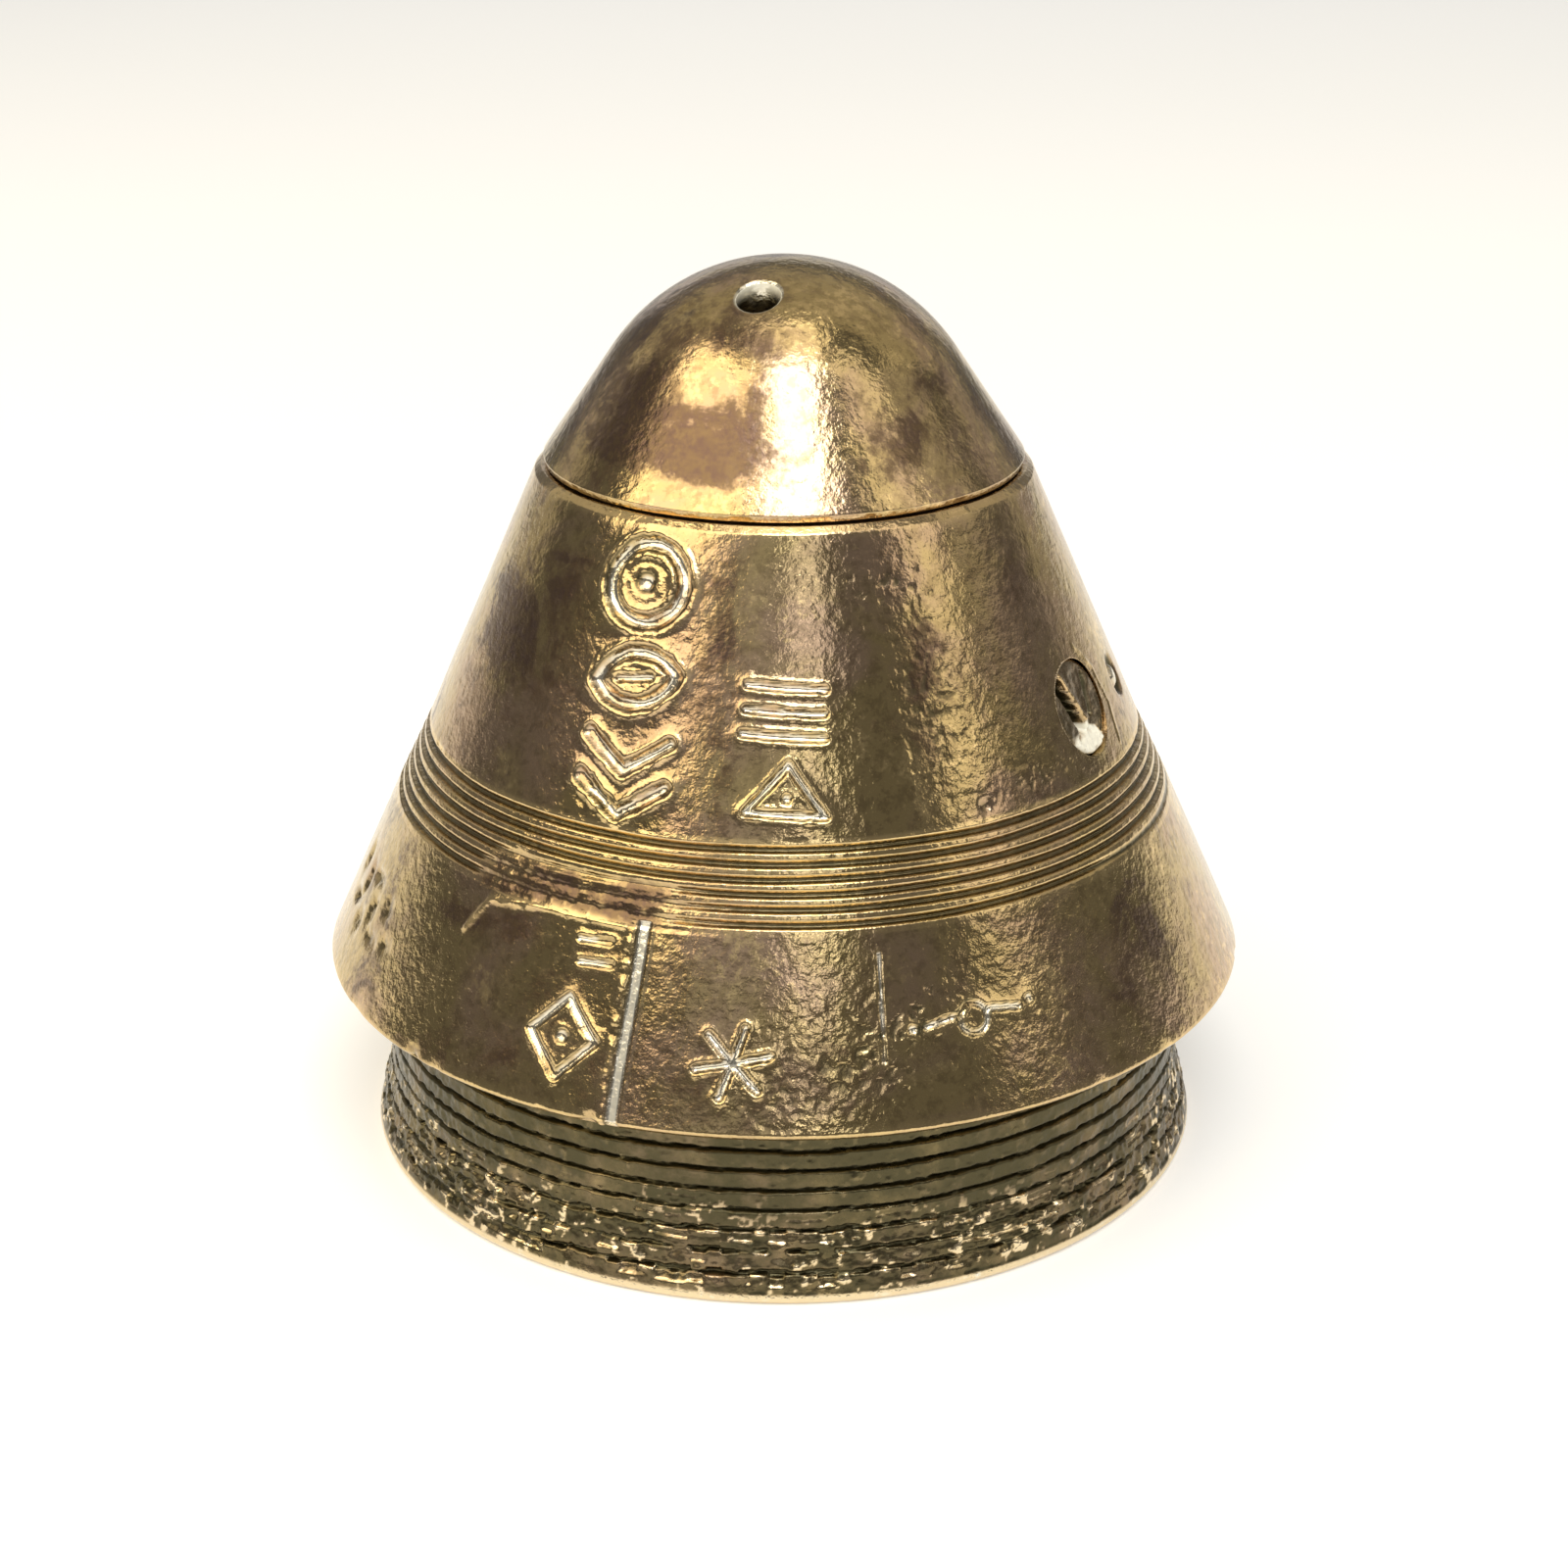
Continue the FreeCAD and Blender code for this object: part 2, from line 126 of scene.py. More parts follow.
def ring_noise(bearing, height, around, upwards, seed):
    """Smooth noise from -1 to 1: so many cells round the axis, and one cell each so many mm up."""
    rows = 96
    values = np.random.default_rng(seed).uniform(-1, 1, (rows, around))
    u = (bearing / FULL_TURN % 1) * around
    v = (height / upwards) % rows
    i, j = np.floor(u).astype(int), np.floor(v).astype(int)
    fu, fv = step(u - i, 0, 1), step(v - j, 0, 1)
    near = values[j % rows, i % around] * (1 - fu) + values[j % rows, (i + 1) % around] * fu
    far = values[(j + 1) % rows, i % around] * (1 - fu)
    far = far + values[(j + 1) % rows, (i + 1) % around] * fu
    return near * (1 - fv) + far * fv


def block_noise(bearing, row, around, seed):
    """Noise from -1 to 1 that jumps from block to block, so many blocks round the axis."""
    rows = 64
    values = np.random.default_rng(seed).uniform(-1, 1, (rows, around))
    starts = np.random.default_rng(seed + 1).uniform(0, 1, rows)
    row = np.floor(row).astype(int) % rows
    return values[row, np.floor((bearing / FULL_TURN + starts[row]) % 1 * around).astype(int)]


def cloud(points, cell, seed, octaves=3):
    """Smooth noise in space from about -1 to 1, in lumps of about cell mm with finer ones on."""
    side, shift = 64, 7.3
    total, weight = 0, 1
    for octave in range(octaves):
        values = np.random.default_rng(seed + octave).uniform(-1, 1, side ** 3)
        place = points / (cell / 2 ** octave) + shift * octave
        whole = np.floor(place).astype(int)
        fx, fy, fz = np.moveaxis(step(place - whole, 0, 1), -1, 0)
        low, high = np.moveaxis(whole % side, -1, 0), np.moveaxis((whole + 1) % side, -1, 0)
        planes = []
        for x in (low[0], high[0]):
            lines = [values[(x * side + y) * side + low[2]] * (1 - fz)
                     + values[(x * side + y) * side + high[2]] * fz for y in (low[1], high[1])]
            planes.append(lines[0] * (1 - fy) + lines[1] * fy)
        total = total + weight * (planes[0] * (1 - fx) + planes[1] * fx)
        weight = weight / 2
    return total


# ---- Turned outlines and shells ----------------------------------------------------------------

def sampled(corners, closed=False):
    """Samples an outline. A corner is (radius, height, fillet, spacing of the run after it)."""
    count, arc_spacing = len(corners), 0.08
    points = [np.array(c[:2], float) for c in corners]
    entries = []
    for k, (_, _, fillet, spacing) in enumerate(corners):
        inner = closed or 0 < k < count - 1
        if not fillet or not inner:
            entries.append(([points[k]], spacing))
            continue
        before = points[k - 1] - points[k]
        after = points[(k + 1) % count] - points[k]
        before, after = before / np.linalg.norm(before), after / np.linalg.norm(after)
        half = math.acos(np.clip(before @ after, -1, 1)) / 2
        middle = (before + after) / np.linalg.norm(before + after)
        centre = points[k] + middle * fillet / math.sin(half)
        start = points[k] + before * fillet / math.tan(half) - centre
        end = points[k] + after * fillet / math.tan(half) - centre
        sweep = math.pi - 2 * half
        turn = math.copysign(sweep, start[0] * end[1] - start[1] * end[0])
        steps = max(3, int(abs(sweep) * fillet / arc_spacing))
        arc = []
        for n in range(steps + 1):
            a = turn * n / steps
            c, s = math.cos(a), math.sin(a)
            arc.append(centre + (c * start[0] - s * start[1], s * start[0] + c * start[1]))
        entries.append((arc, spacing))
    path = []
    for k, (arc, spacing) in enumerate(entries):
        path.extend(arc)
        if k == count - 1 and not closed:
            break
        goal = entries[(k + 1) % count][0][0]
        pieces = max(1, round(np.linalg.norm(goal - arc[-1]) / spacing))
        path.extend(arc[-1] + (goal - arc[-1]) * n / pieces for n in range(1, pieces))
    return np.array(path)


def outline_normals(path, closed):
    """Unit normals of an outline, on the side that faces away from the metal."""
    if closed:
        along = np.roll(path, -1, axis=0) - np.roll(path, 1, axis=0)
    else:
        along = np.gradient(path, axis=0)
    along = along / np.linalg.norm(along, axis=1)[:, None]
    return np.stack([along[:, 1], -along[:, 0]], axis=1)


class Shell:
    """A turned shell as a grid of points, to be carved and then written as a mesh."""

    def __init__(self, corners, columns, closed):
        self.path = sampled(corners, closed)
        self.normals = outline_normals(self.path, closed)
        self.closed = closed
        self.columns = columns
        turns = np.arange(columns) / columns * FULL_TURN
        self.bearing, self.z = np.meshgrid(turns, self.path[:, 1])
        self.bearing = (self.bearing + math.pi) % FULL_TURN - math.pi
        self.r = np.repeat(self.path[:, :1], columns, axis=1)
        self.place = self.placed(self.r, self.z)
        self.outer = step(self.normals[:, :1], -0.2, 0.4) * (self.r > 0)
        self.lift = np.zeros_like(self.r)
        self.grime = np.zeros_like(self.r)
        self.bare = np.zeros_like(self.r)
        self.pale = np.zeros_like(self.r)
        self.stained = np.zeros_like(self.r)

    def placed(self, r, z):
        """Points in space, in mm, for a radius and a height at every bearing."""
        return np.stack([r * np.sin(self.bearing), -r * np.cos(self.bearing), z], axis=2)

    def points(self):
        """The carved points, in metres."""
        r = self.r + self.lift * self.normals[:, :1]
        z = self.z + self.lift * self.normals[:, 1:]
        if not self.closed:
            r[0], r[-1] = 0, 0
            z[0], z[-1] = z[0].mean(), z[-1].mean()
        return self.placed(r, z) * MM

    def unrolled(self, rows):
        """The bake map's corners of each quad: across by bearing, up by length of outline."""
        path = np.vstack([self.path, self.path[:1]])[:rows + 1]
        along = np.concatenate([[0], np.cumsum(np.linalg.norm(np.diff(path, axis=0), axis=1))])
        up = along / along[-1] * MAP_TOP
        across = np.arange(self.columns + 1) / self.columns
        left, low = np.meshgrid(across[:-1], up[:-1])
        right, high = np.meshgrid(across[1:], up[1:])
        corners = [(left, low), (right, low), (right, high), (left, high)]
        return np.stack([np.stack(corner, axis=2) for corner in corners], axis=2).reshape(-1, 4, 2)

    def mesh(self, name):
        """A new object with the shell's mesh, and its places of grime and painted shade, of rubbed
        metal and painted highlight, and of pale and stained metal.
        """
        points = self.points()
        rows, columns = self.r.shape
        index = np.arange(rows * columns).reshape(rows, columns)
        low = index if self.closed else index[:-1]
        high = np.roll(index, -1, axis=0) if self.closed else index[1:]
        quads = np.stack([low, np.roll(low, -1, axis=1), np.roll(high, -1, axis=1), high], axis=2)
        quads = quads.reshape(-1, 4)
        if not self.closed:
            quads[quads < columns] = 0
            last = (rows - 1) * columns
            quads[quads >= last] = last
        return new_mesh(name, points.reshape(-1, 3), quads, self.unrolled(len(low)),
                        grime=self.grime.ravel(), bare=self.bare.ravel(),
                        pale=self.pale.ravel(), stained=self.stained.ravel())


def new_mesh(name, points, faces, unrolled, **attributes):
    """A smooth-shaded object from arrays of points and quads, with a bake map and attributes."""
    used = np.unique(faces)
    renumber = np.zeros(len(points), int)
    renumber[used] = np.arange(len(used))
    faces = renumber[faces]
    mesh = bpy.data.meshes.new(name)
    mesh.vertices.add(len(used))
    mesh.vertices.foreach_set("co", points[used].astype(np.float32).ravel())
    repeats = faces == np.roll(faces, 1, axis=1)
    pinched = repeats.any(axis=1)
    kept = ~repeats[pinched]
    corners = np.concatenate([faces[~pinched].ravel(), faces[pinched][kept]])
    spots = np.concatenate([unrolled[~pinched].reshape(-1, 2), unrolled[pinched][kept]])
    sizes = np.where(np.arange(len(faces)) < (~pinched).sum(), 4, 3)
    mesh.loops.add(len(corners))
    mesh.loops.foreach_set("vertex_index", corners.astype(np.int32))
    mesh.polygons.add(len(sizes))
    starts = np.concatenate([[0], np.cumsum(sizes)[:-1]])
    mesh.polygons.foreach_set("loop_start", starts.astype(np.int32))
    mesh.update(calc_edges=True)
    mesh.uv_layers.new(name=BAKE_MAP).data.foreach_set("uv", spots.astype(np.float32).ravel())
    for key, values in attributes.items():
        attribute = mesh.attributes.new(key, "FLOAT", "POINT")
        attribute.data.foreach_set("value", values[used].astype(np.float32))
    mesh.shade_smooth()
    piece = bpy.data.objects.new(name, mesh)
    bpy.context.scene.collection.objects.link(piece)
    return piece


# ---- Carving -----------------------------------------------------------------------------------

def tooth(phase, root, crest):
    """A thread's depth, 1 in the root and 0 on the crest. Both are shares of the pitch."""
    off_root = np.abs(phase - np.floor(phase) - 0.5) * 2
    return 1 - step(off_root, root, 1 - crest)


def carve_foot(shell):
    """The foot's worn right-hand thread: flattened crests, broken into blocks towards the rim,
    darkened as grime and painted shade and lit by painted highlights.
    """
    inner_r = 22.5
    rows = (shell.path[:, 0] > inner_r) & (shell.path[:, 1] < FOOT_TOP)
    rows &= shell.normals[:, 0] > 0.5
    b, z, place = shell.bearing[rows], shell.z[rows], shell.place[rows]
    lumps, fine = cloud(place, 1.8, 14), cloud(place, 0.45, 12)
    phase = z / FOOT_PITCH - b / FULL_TURN + 0.05 * cloud(place, 3, 13) + 0.03 * fine
    ends = step(z, 0.7, 1.5) * (1 - step(z, FOOT_TOP - 0.9, FOOT_TOP - 0.2))
    low = 1 - step(z + 1.5 * cloud(place, 9, 11), 2.8, 6.6)
    turn = np.floor(phase + 0.5)
    short, long = block_noise(b, turn, FOOT_BLOCKS, 15), block_noise(b, turn, FOOT_LONG_BLOCKS, 17)
    side = phase - turn + 0.10 * short * low
    cut = tooth(side, 0.03, 0.72) * (1 - 0.5 * low * step(lumps, -0.1, 0.5))
    crest = 1 - cut
    broken = low * step(0.6 * short + 0.7 * long, 0.15, 0.25) * step(side, -0.05, 0.05) * crest
    rim = 1 - step(z, 0.55, 0.8)
    lift = -FOOT_DEPTH * cut - 0.17 * broken + 0.05 * low * short * crest
    lift += (0.045 + 0.035 * low) * fine + 0.05 * low * lumps
    shell.lift[rows] += ends * lift * (1 - rim)
    upper, lower = bell(side, 0.0, 0.06) * broken, bell(side, 0.34, 0.06) * (1 - broken)
    ledge = np.maximum(upper, lower * low * step(long, -0.2, 0.1)) * step(fine + short, -0.5, 0.3)
    glint = step(fine + 0.5 * lumps, 0.6, 0.95) * crest * (0.15 + 0.85 * low)
    # Painted highlights: the ledges and the glints on the crests turn gold and pale, and the rubbed
    # rim is painted brighter still, as a painted reflection of the floor.
    shell.bare[rows] += (1.6 * ledge + 1.3 * glint) * (1 - rim) + 1.2 * rim
    # The foot is darkened all over, most in the roots, as grime and painted shade.
    dirt_and_shade = 0.76 - 0.10 * low + 0.16 * lumps + 0.3 * cut
    shell.grime[rows] += (dirt_and_shade - ledge - 0.9 * glint) * (1 - rim)
    shell.pale[rows] += 0.6 * ledge + 0.5 * glint + 0.5 * rim


def carve_thread(shell, radius, low, high, depth, faces_out):
    """A true right-hand helix on a wall, the same on a plug or spigot and in its socket."""
    rows = (np.abs(shell.path[:, 0] - radius) < 0.3) & (np.abs(shell.normals[:, 0]) > 0.9)
    rows &= (shell.path[:, 1] > low) & (shell.path[:, 1] < high)
    z = shell.z[rows]
    ends = step(z, low, low + 0.5) * (1 - step(z, high - 0.5, high))
    cut = ends * tooth(z / THREAD_PITCH - shell.bearing[rows] / FULL_TURN, 0.08, 0.12)
    shell.lift[rows] += depth * cut * (-1 if faces_out else 1)
    # The root is darkened, as grime and painted shade.
    shell.grime[rows] += 0.5 * cut


def carve_band(shell):
    """The band of round-bottomed grooves, smeared smooth on one side and faint on another. The
    groove bottoms are darkened as grime and painted shade, and the crests and the glints in the
    smear are painted gold as rubbed metal and painted highlight.
    """
    rows = (shell.path[:, 1] > BAND_Z - 0.2) & (shell.path[:, 1] < CONE_Z + 0.2)
    rows &= shell.normals[:, 0] > 0.5
    b, z, place = shell.bearing[rows], shell.z[rows], shell.place[rows]
    turn = np.degrees(b)
    lumps, fine = cloud(place, 2.5, 21), cloud(place, 0.6, 22)
    ragged = turn + 4 * lumps
    smear = step(ragged, -33, -26) * (1 - step(ragged, -2, 9))
    smear *= 1 - step(z + 0.25 * lumps, 23.0, 24.0)
    lift, grime = -0.10 * smear, 0
    for index in range(GROOVES):
        centre = FIRST_GROOVE + index * GROOVE_STEP + 0.03 * ring_noise(b, z * 0 + index, 30, 1, 23)
        groove = 1 - step(np.abs(z - centre) / (0.5 * GROOVE_STEP), 0.08, 0.72)
        faded = 0.8 * step(turn, 60, 75) if index == 0 else 0
        lift = lift - GROOVE_DEPTH * groove * (1 - 0.85 * smear) * (1 - faded)
        grime = grime + 0.7 * groove * (1 - smear)
    shell.lift[rows] += lift + (0.010 + 0.02 * smear) * fine + 0.05 * smear * lumps
    shell.grime[rows] += grime
    shell.bare[rows] += 0.45 * (1 - smear) + 0.4 * smear * step(fine, 0.5, 0.9)
    shell.stained[rows] += smear


def line_distance(a, b, start, end):
    """Distance to a straight stroke."""
    ux, uy = end[0] - start[0], end[1] - start[1]
    t = np.clip(((a - start[0]) * ux + (b - start[1]) * uy) / (ux * ux + uy * uy), 0, 1)
    return np.hypot(a - start[0] - t * ux, b - start[1] - t * uy)


def arc_distance(a, b, centre, radius, middle=0.0, half=180.0):
    """Distance to an arc, which reaches so many degrees each side of its middle direction."""
    x, y = a - centre[0], b - centre[1]
    turn = (np.degrees(np.arctan2(y, x)) - middle + 180) % 360 - 180
    ends = [math.radians(middle + sign * half) for sign in (-1, 1)]
    tips = [np.hypot(x - radius * math.cos(e), y - radius * math.sin(e)) for e in ends]
    return np.where(np.abs(turn) <= half, np.abs(np.hypot(x, y) - radius), np.minimum(*tips))


def strokes(a, b, *lines):
    """Distance to the nearest of several straight strokes."""
    return np.minimum.reduce([line_distance(a, b, line[:2], line[2:]) for line in lines])


# Generic punch marks, in mm about their middle: a runs across the cone, b up its slope.
MARKS = {
    "boss": lambda a, b: arc_distance(a, b, (0, 0), 2.2),
    "pellet": lambda a, b: np.hypot(a, b) * 0.5,
    "leaf": lambda a, b: np.minimum(arc_distance(a, b, (0, -1.3), 2.7, 90, 61),
                                    arc_distance(a, b, (0, 1.3), 2.7, -90, 61)),
    "chevrons": lambda a, b: strokes(a, b, (-2.5, 2.1, 0, 0.4), (0, 0.4, 2.5, 2.1),
                                     (-2.5, -0.3, 0, -2.0), (0, -2.0, 2.5, -0.3)),
    "bars": lambda a, b: strokes(a, b, (-2.1, 1.3, 2.1, 1.3), (-2.1, 0, 2.1, 0),
                                 (-2.1, -1.3, 2.1, -1.3)),
    "peak": lambda a, b: strokes(a, b, (-2.1, -1.2, 2.1, -1.2), (2.1, -1.2, 0, 1.5),
                                 (0, 1.5, -2.1, -1.2)),
    "diamond": lambda a, b: strokes(a, b, (-2.0, 0, 0, 2.2), (0, 2.2, 2.0, 0),
                                    (2.0, 0, 0, -2.2), (0, -2.2, -2.0, 0)),
    "star": lambda a, b: strokes(a, b, (-2.0, 0, 2.0, 0), (-1.0, 1.7, 1.0, -1.7),
                                 (-1.0, -1.7, 1.0, 1.7)),
    "ring": lambda a, b: arc_distance(a, b, (0, 0), 0.8),
    "rule": lambda a, b: line_distance(a, b, (0, -2.9), (0, 2.9)),
    "dash": lambda a, b: line_distance(a, b, (-0.9, 0), (0.9, 0)),
    "dot": lambda a, b: np.hypot(a, b),
}

# (mark, bearing, height, tilt in degrees, half width of the stroke, depth)
STRUCK = (
    ("boss", -11.6, 38.0, 0, 0.46, 0.38),
    ("pellet", -11.6, 38.0, 0, 0.30, 0.20),
    ("leaf", -10.4, 33.3, 10, 0.42, 0.36),
    ("dash", -10.4, 33.3, 10, 0.26, 0.22),
    ("chevrons", -9.6, 28.4, 0, 0.40, 0.34),
    ("bars", 16.5, 32.2, -4, 0.25, 0.22),
    ("peak", 16.8, 28.3, -4, 0.25, 0.22),
    ("dot", 16.8, 28.0, 0, 0.30, 0.18),
    ("dash", -8.8, 20.4, 4, 0.22, 0.14),
    ("dash", -8.3, 19.3, 4, 0.22, 0.14),
    ("diamond", -11.0, 15.5, 0, 0.27, 0.17),
    ("dot", -11.0, 15.5, 0, 0.40, 0.14),
    ("star", 10.4, 15.3, 12, 0.26, 0.19),
    ("rule", 28.4, 17.8, -2, 0.12, 0.07),
    ("dot", 32.0, 16.6, 0, 0.32, 0.12),
    ("dash", 35.8, 16.8, 12, 0.22, 0.13),
    ("ring", 40.0, 16.7, 0, 0.20, 0.12),
    ("dash", 44.2, 16.9, -8, 0.22, 0.13),
    ("dot", 48.0, 17.0, 0, 0.30, 0.12),
)

# Gouges in the skirt's left side: (bearing, height, width, tallness, depth)
GOUGES = (
    (-66, 17.4, 0.5, 0.9, 0.26), (-63, 15.6, 0.9, 0.4, 0.24), (-60.5, 17.0, 0.4, 0.9, 0.24),
    (-58, 15.0, 0.5, 0.7, 0.22), (-56, 17.9, 1.0, 0.35, 0.22), (-54, 16.3, 0.45, 0.8, 0.24),
    (-51, 15.2, 0.9, 0.4, 0.22), (-49, 17.2, 0.5, 0.6, 0.18), (-46, 15.6, 0.6, 0.4, 0.16),
)

# Nicks in the skirt's lower edge and in the cone: (bearing, height, width, tallness, depth)
NICKS = (
    (-32.6, SKIRT_Z, 0.5, 0.4, 0.25), (-5.6, SKIRT_Z, 0.7, 0.4, 0.15),
    (48.2, 26.6, 0.35, 0.35, 0.22),
)

# Corners of two burrs as (bearing, height): below the smeared grooves, and beside the screw.
BURR_LINE = ((-30.0, 19.0), (-27.0, 20.9), (-16.6, 21.45), (-5.0, 21.35))
SCREW_BURR = ((80.0, 32.4), (84.5, 30.8), (86.0, 28.6), (84.5, 26.6))

# Tarnished places, and gilt ones where negative: (bearing, height, width, tallness, strength)
BODY_STAINS = (
    (-41, 34.0, 4.0, 3.5, 0.9), (-30, 37.5, 1.5, 1.5, 0.6), (5, 33.0, 2.4, 5.0, 0.5),
    (40, 33.0, 2.6, 5.0, 0.5), (70, 37.4, 1.8, 2.0, 0.6), (-13, 28.5, 3.0, 2.5, -0.6),
    (-22, 19.3, 5.0, 1.8, 0.5), (-9, 18.5, 4.0, 2.5, 0.6), (12, 14.5, 8.0, 2.5, 0.5),
    (72, 18.0, 3.5, 2.6, 1.0), (63, 15.4, 2.0, 1.5, 0.8),
)
CAP_STAINS = (
    (-17, 44.5, 4.5, 2.2, 1.0), (-40, 47.5, 3.0, 3.0, 1.0), (-5, 49.4, 2.5, 1.0, 0.7),
    (6, 44.8, 1.6, 2.2, 0.9), (58, 45.5, 3.0, 3.0, 0.35), (-10, 48.4, 1.6, 1.2, -1.3),
    (-40, 48.2, 0.9, 0.8, -1.0), (-6, 42.3, 3.0, 0.7, -1.2),
)

# Patches of corrosion pits: (bearing, height, width, tallness, depth)
BODY_PITS = (
    (27, 15.5, 4.5, 2.6, 0.05), (14, 14.0, 3.0, 2.0, 0.045), (36, 17.8, 3.0, 1.4, 0.045),
    (59, 27.0, 3.5, 1.2, 0.045), (-13, 27.0, 2.5, 1.2, 0.045), (37, 38.3, 3.0, 1.0, 0.04),
    (41, 32.0, 3.0, 5.0, 0.025),
)


def strike(shell, mark, bearing, height, tilt, half_width, depth):
    """One struck mark: a flat-floored groove with a rough burr thrown up along it."""
    centre = math.radians(bearing)
    rows = (np.abs(shell.path[:, 1] - height) < MARK_REACH) & (shell.normals[:, 0] > 0.5)
    slope = shell.normals[rows, 0].mean()
    radius = np.interp(height, shell.path[rows, 1], shell.path[rows, 0])
    spread = np.abs((shell.bearing[0] - centre + math.pi) % FULL_TURN - math.pi) * radius
    near = np.ix_(rows, spread < MARK_REACH)
    across = ((shell.bearing[near] - centre + math.pi) % FULL_TURN - math.pi) * radius
    upward = (shell.z[near] - height) / slope
    turn = math.radians(tilt)
    a = across * math.cos(turn) + upward * math.sin(turn)
    b = upward * math.cos(turn) - across * math.sin(turn)
    crumb, worn = cloud(shell.place[near], 0.55, 31), cloud(shell.place[near], 2.0, 33, 2)
    depth = depth * (0.85 + 0.3 * worn)
    d = MARKS[mark](a, b) / half_width * (1 + 0.12 * crumb + 0.12 * worn)
    floor = 1 - step(d, 0.25, 1.12)
    burr = bell(d, 1.45, 0.42)
    around = bell(d, 1.6, 1.5) * (1 - floor)
    shell.lift[near] += depth * (0.26 * burr + 0.12 * around * crumb + 0.13 * around - floor)
    shell.bare[near] += 0.55 * burr + 0.35 * around * step(crumb, 0.0, 0.6)
    # The foot of the groove's wall is darkened, as grime and painted shade.
    shell.grime[near] += 0.75 * bell(d, 0.95, 0.16)
    shell.pale[near] += (1 - step(d, 0.55, 0.8)) * step(worn + 0.4 * crumb, -0.9, 0.1)


def carve_index_line(shell):
    """The straight line scribed down the skirt, square-edged, with a thin burr on both sides. Its
    edges are darkened, as grime and painted shade, and its floor is painted pale, as a painted
    highlight.
    """
    rows = (shell.path[:, 1] > SKIRT_Z - 0.4) & (shell.path[:, 1] < BAND_Z + 0.1)
    rows &= shell.normals[:, 0] > 0.4
    z, fine = shell.z[rows], cloud(shell.place[rows], 0.5, 41)
    line = np.radians(INDEX_BEARING - INDEX_LEAN * step(z, 21.5, 12))
    across = (shell.bearing[rows] - line) * shell.r[rows]
    floor = 1 - step(np.abs(across), 0.24, 0.42)
    burr = bell(across, INDEX_BURR, 0.30) * (0.08 + 0.08 * fine) + 0.04 * bell(across, 0.45, 0.13)
    shell.lift[rows] += burr - INDEX_DEPTH * floor
    shell.bare[rows] += 0.9 * bell(across, INDEX_BURR, 0.32) * step(fine, -0.4, 0.4)
    shell.grime[rows] += 0.6 * bell(np.abs(across), 0.40, 0.07)
    shell.pale[rows] += 1.3 * (1 - step(np.abs(across), 0.22, 0.34))


def patch(shell, bearing, height, width, tall):
    """1 in the middle of a soft patch and 0 outside it. width and tall are in mm."""
    across = ((shell.bearing - math.radians(bearing) + math.pi) % FULL_TURN - math.pi) * shell.r
    return np.exp(-(across / width) ** 2 - ((shell.z - height) / tall) ** 2) * shell.outer


def dent(shell, bearing, height, width, tall, depth, rough=0.0):
    """A shallow dent with a rough floor."""
    inside = patch(shell, bearing, height, width, tall)
    near = inside > 0.01
    inside = inside[near]
    shell.lift[near] -= inside * (depth + rough * cloud(shell.place[near], 0.6, 51))
    # Deeper dents are darkened, as grime and painted shade.
    shell.grime[near] += 0.5 * inside * step(depth, 0.05, 0.2)


def pit(shell, bearing, height, width, tall, depth):
    """A patch of small corrosion pits."""
    inside = patch(shell, bearing, height, width, tall)
    near = inside > 0.05
    inside = inside[near]
    hollow = inside * step(cloud(shell.place[near], 0.42, 57) + 0.3 * inside, 0.3, 0.7)
    shell.lift[near] -= depth * hollow
    shell.grime[near] += 0.55 * hollow


def stake_mark(shell, bearing, height):
    """The ring left where a punch staked the cone's wall against the locking screw."""
    across = (shell.bearing - math.radians(bearing)) * shell.r
    d = np.hypot(across / STAKE_WIDE, (shell.z - height) / STAKE_TALL) * shell.outer
    near = (d < 2) & (shell.outer > 0.5)
    d = d[near]
    shell.lift[near] -= 0.30 * bell(d, 0.85, 0.3)
    # The ring is darkened, as grime and painted shade.
    shell.grime[near] += 0.9 * bell(d, 1.0, 0.22)
    shell.pale[near] += 1 - step(d, 0.4, 0.8)


def ridge(shell, corners, width, height):
    """A ridge of pushed-up metal along straight runs between (bearing, height) corners, painted
    gold as rubbed metal and painted highlight.
    """
    rows = (np.abs(shell.path[:, 1] - corners[0][1]) < 6) & (shell.normals[:, 0] > 0.5)
    across, z = shell.bearing[rows] * SKIRT_R, shell.z[rows]
    runs = [(math.radians(start[0]) * SKIRT_R, start[1], math.radians(end[0]) * SKIRT_R, end[1])
            for start, end in zip(corners, corners[1:])]
    fine = cloud(shell.place[rows], 0.7, 55)
    crest = bell(strokes(across, z, *runs) + 0.10 * fine, 0, width)
    shell.lift[rows] += crest * height * (1 + 0.5 * fine)
    shell.bare[rows] += 1.1 * crest


def weather(shell, seed, waves, pits):
    """The slow waviness and fine pitting of old turned brass."""
    rows = shell.outer.max(axis=1) > 0
    place = shell.place[rows]
    slow, fine = cloud(place, 6, seed, 2), cloud(place, 0.5, seed + 7, 2)
    shell.lift[rows] += shell.outer[rows] * (waves * slow + pits * fine * step(slow, -0.4, 0.8))


def rub_edge(shell, height, width, seed, bites):
    """A sharp edge rubbed bright and painted gold as a highlight, with small bites out of it."""
    rows = np.abs(shell.path[:, 1] - height) < 3 * width
    near = bell(shell.z[rows], height, width) * shell.outer[rows]
    notches = step(ring_noise(shell.bearing[rows], shell.z[rows] * 0, bites, 1, seed), 0.55, 0.85)
    shell.lift[rows] -= near * 0.05 * notches
    shell.bare[rows] += near * (0.6 + 0.4 * notches)


# ---- The pieces --------------------------------------------------------------------------------

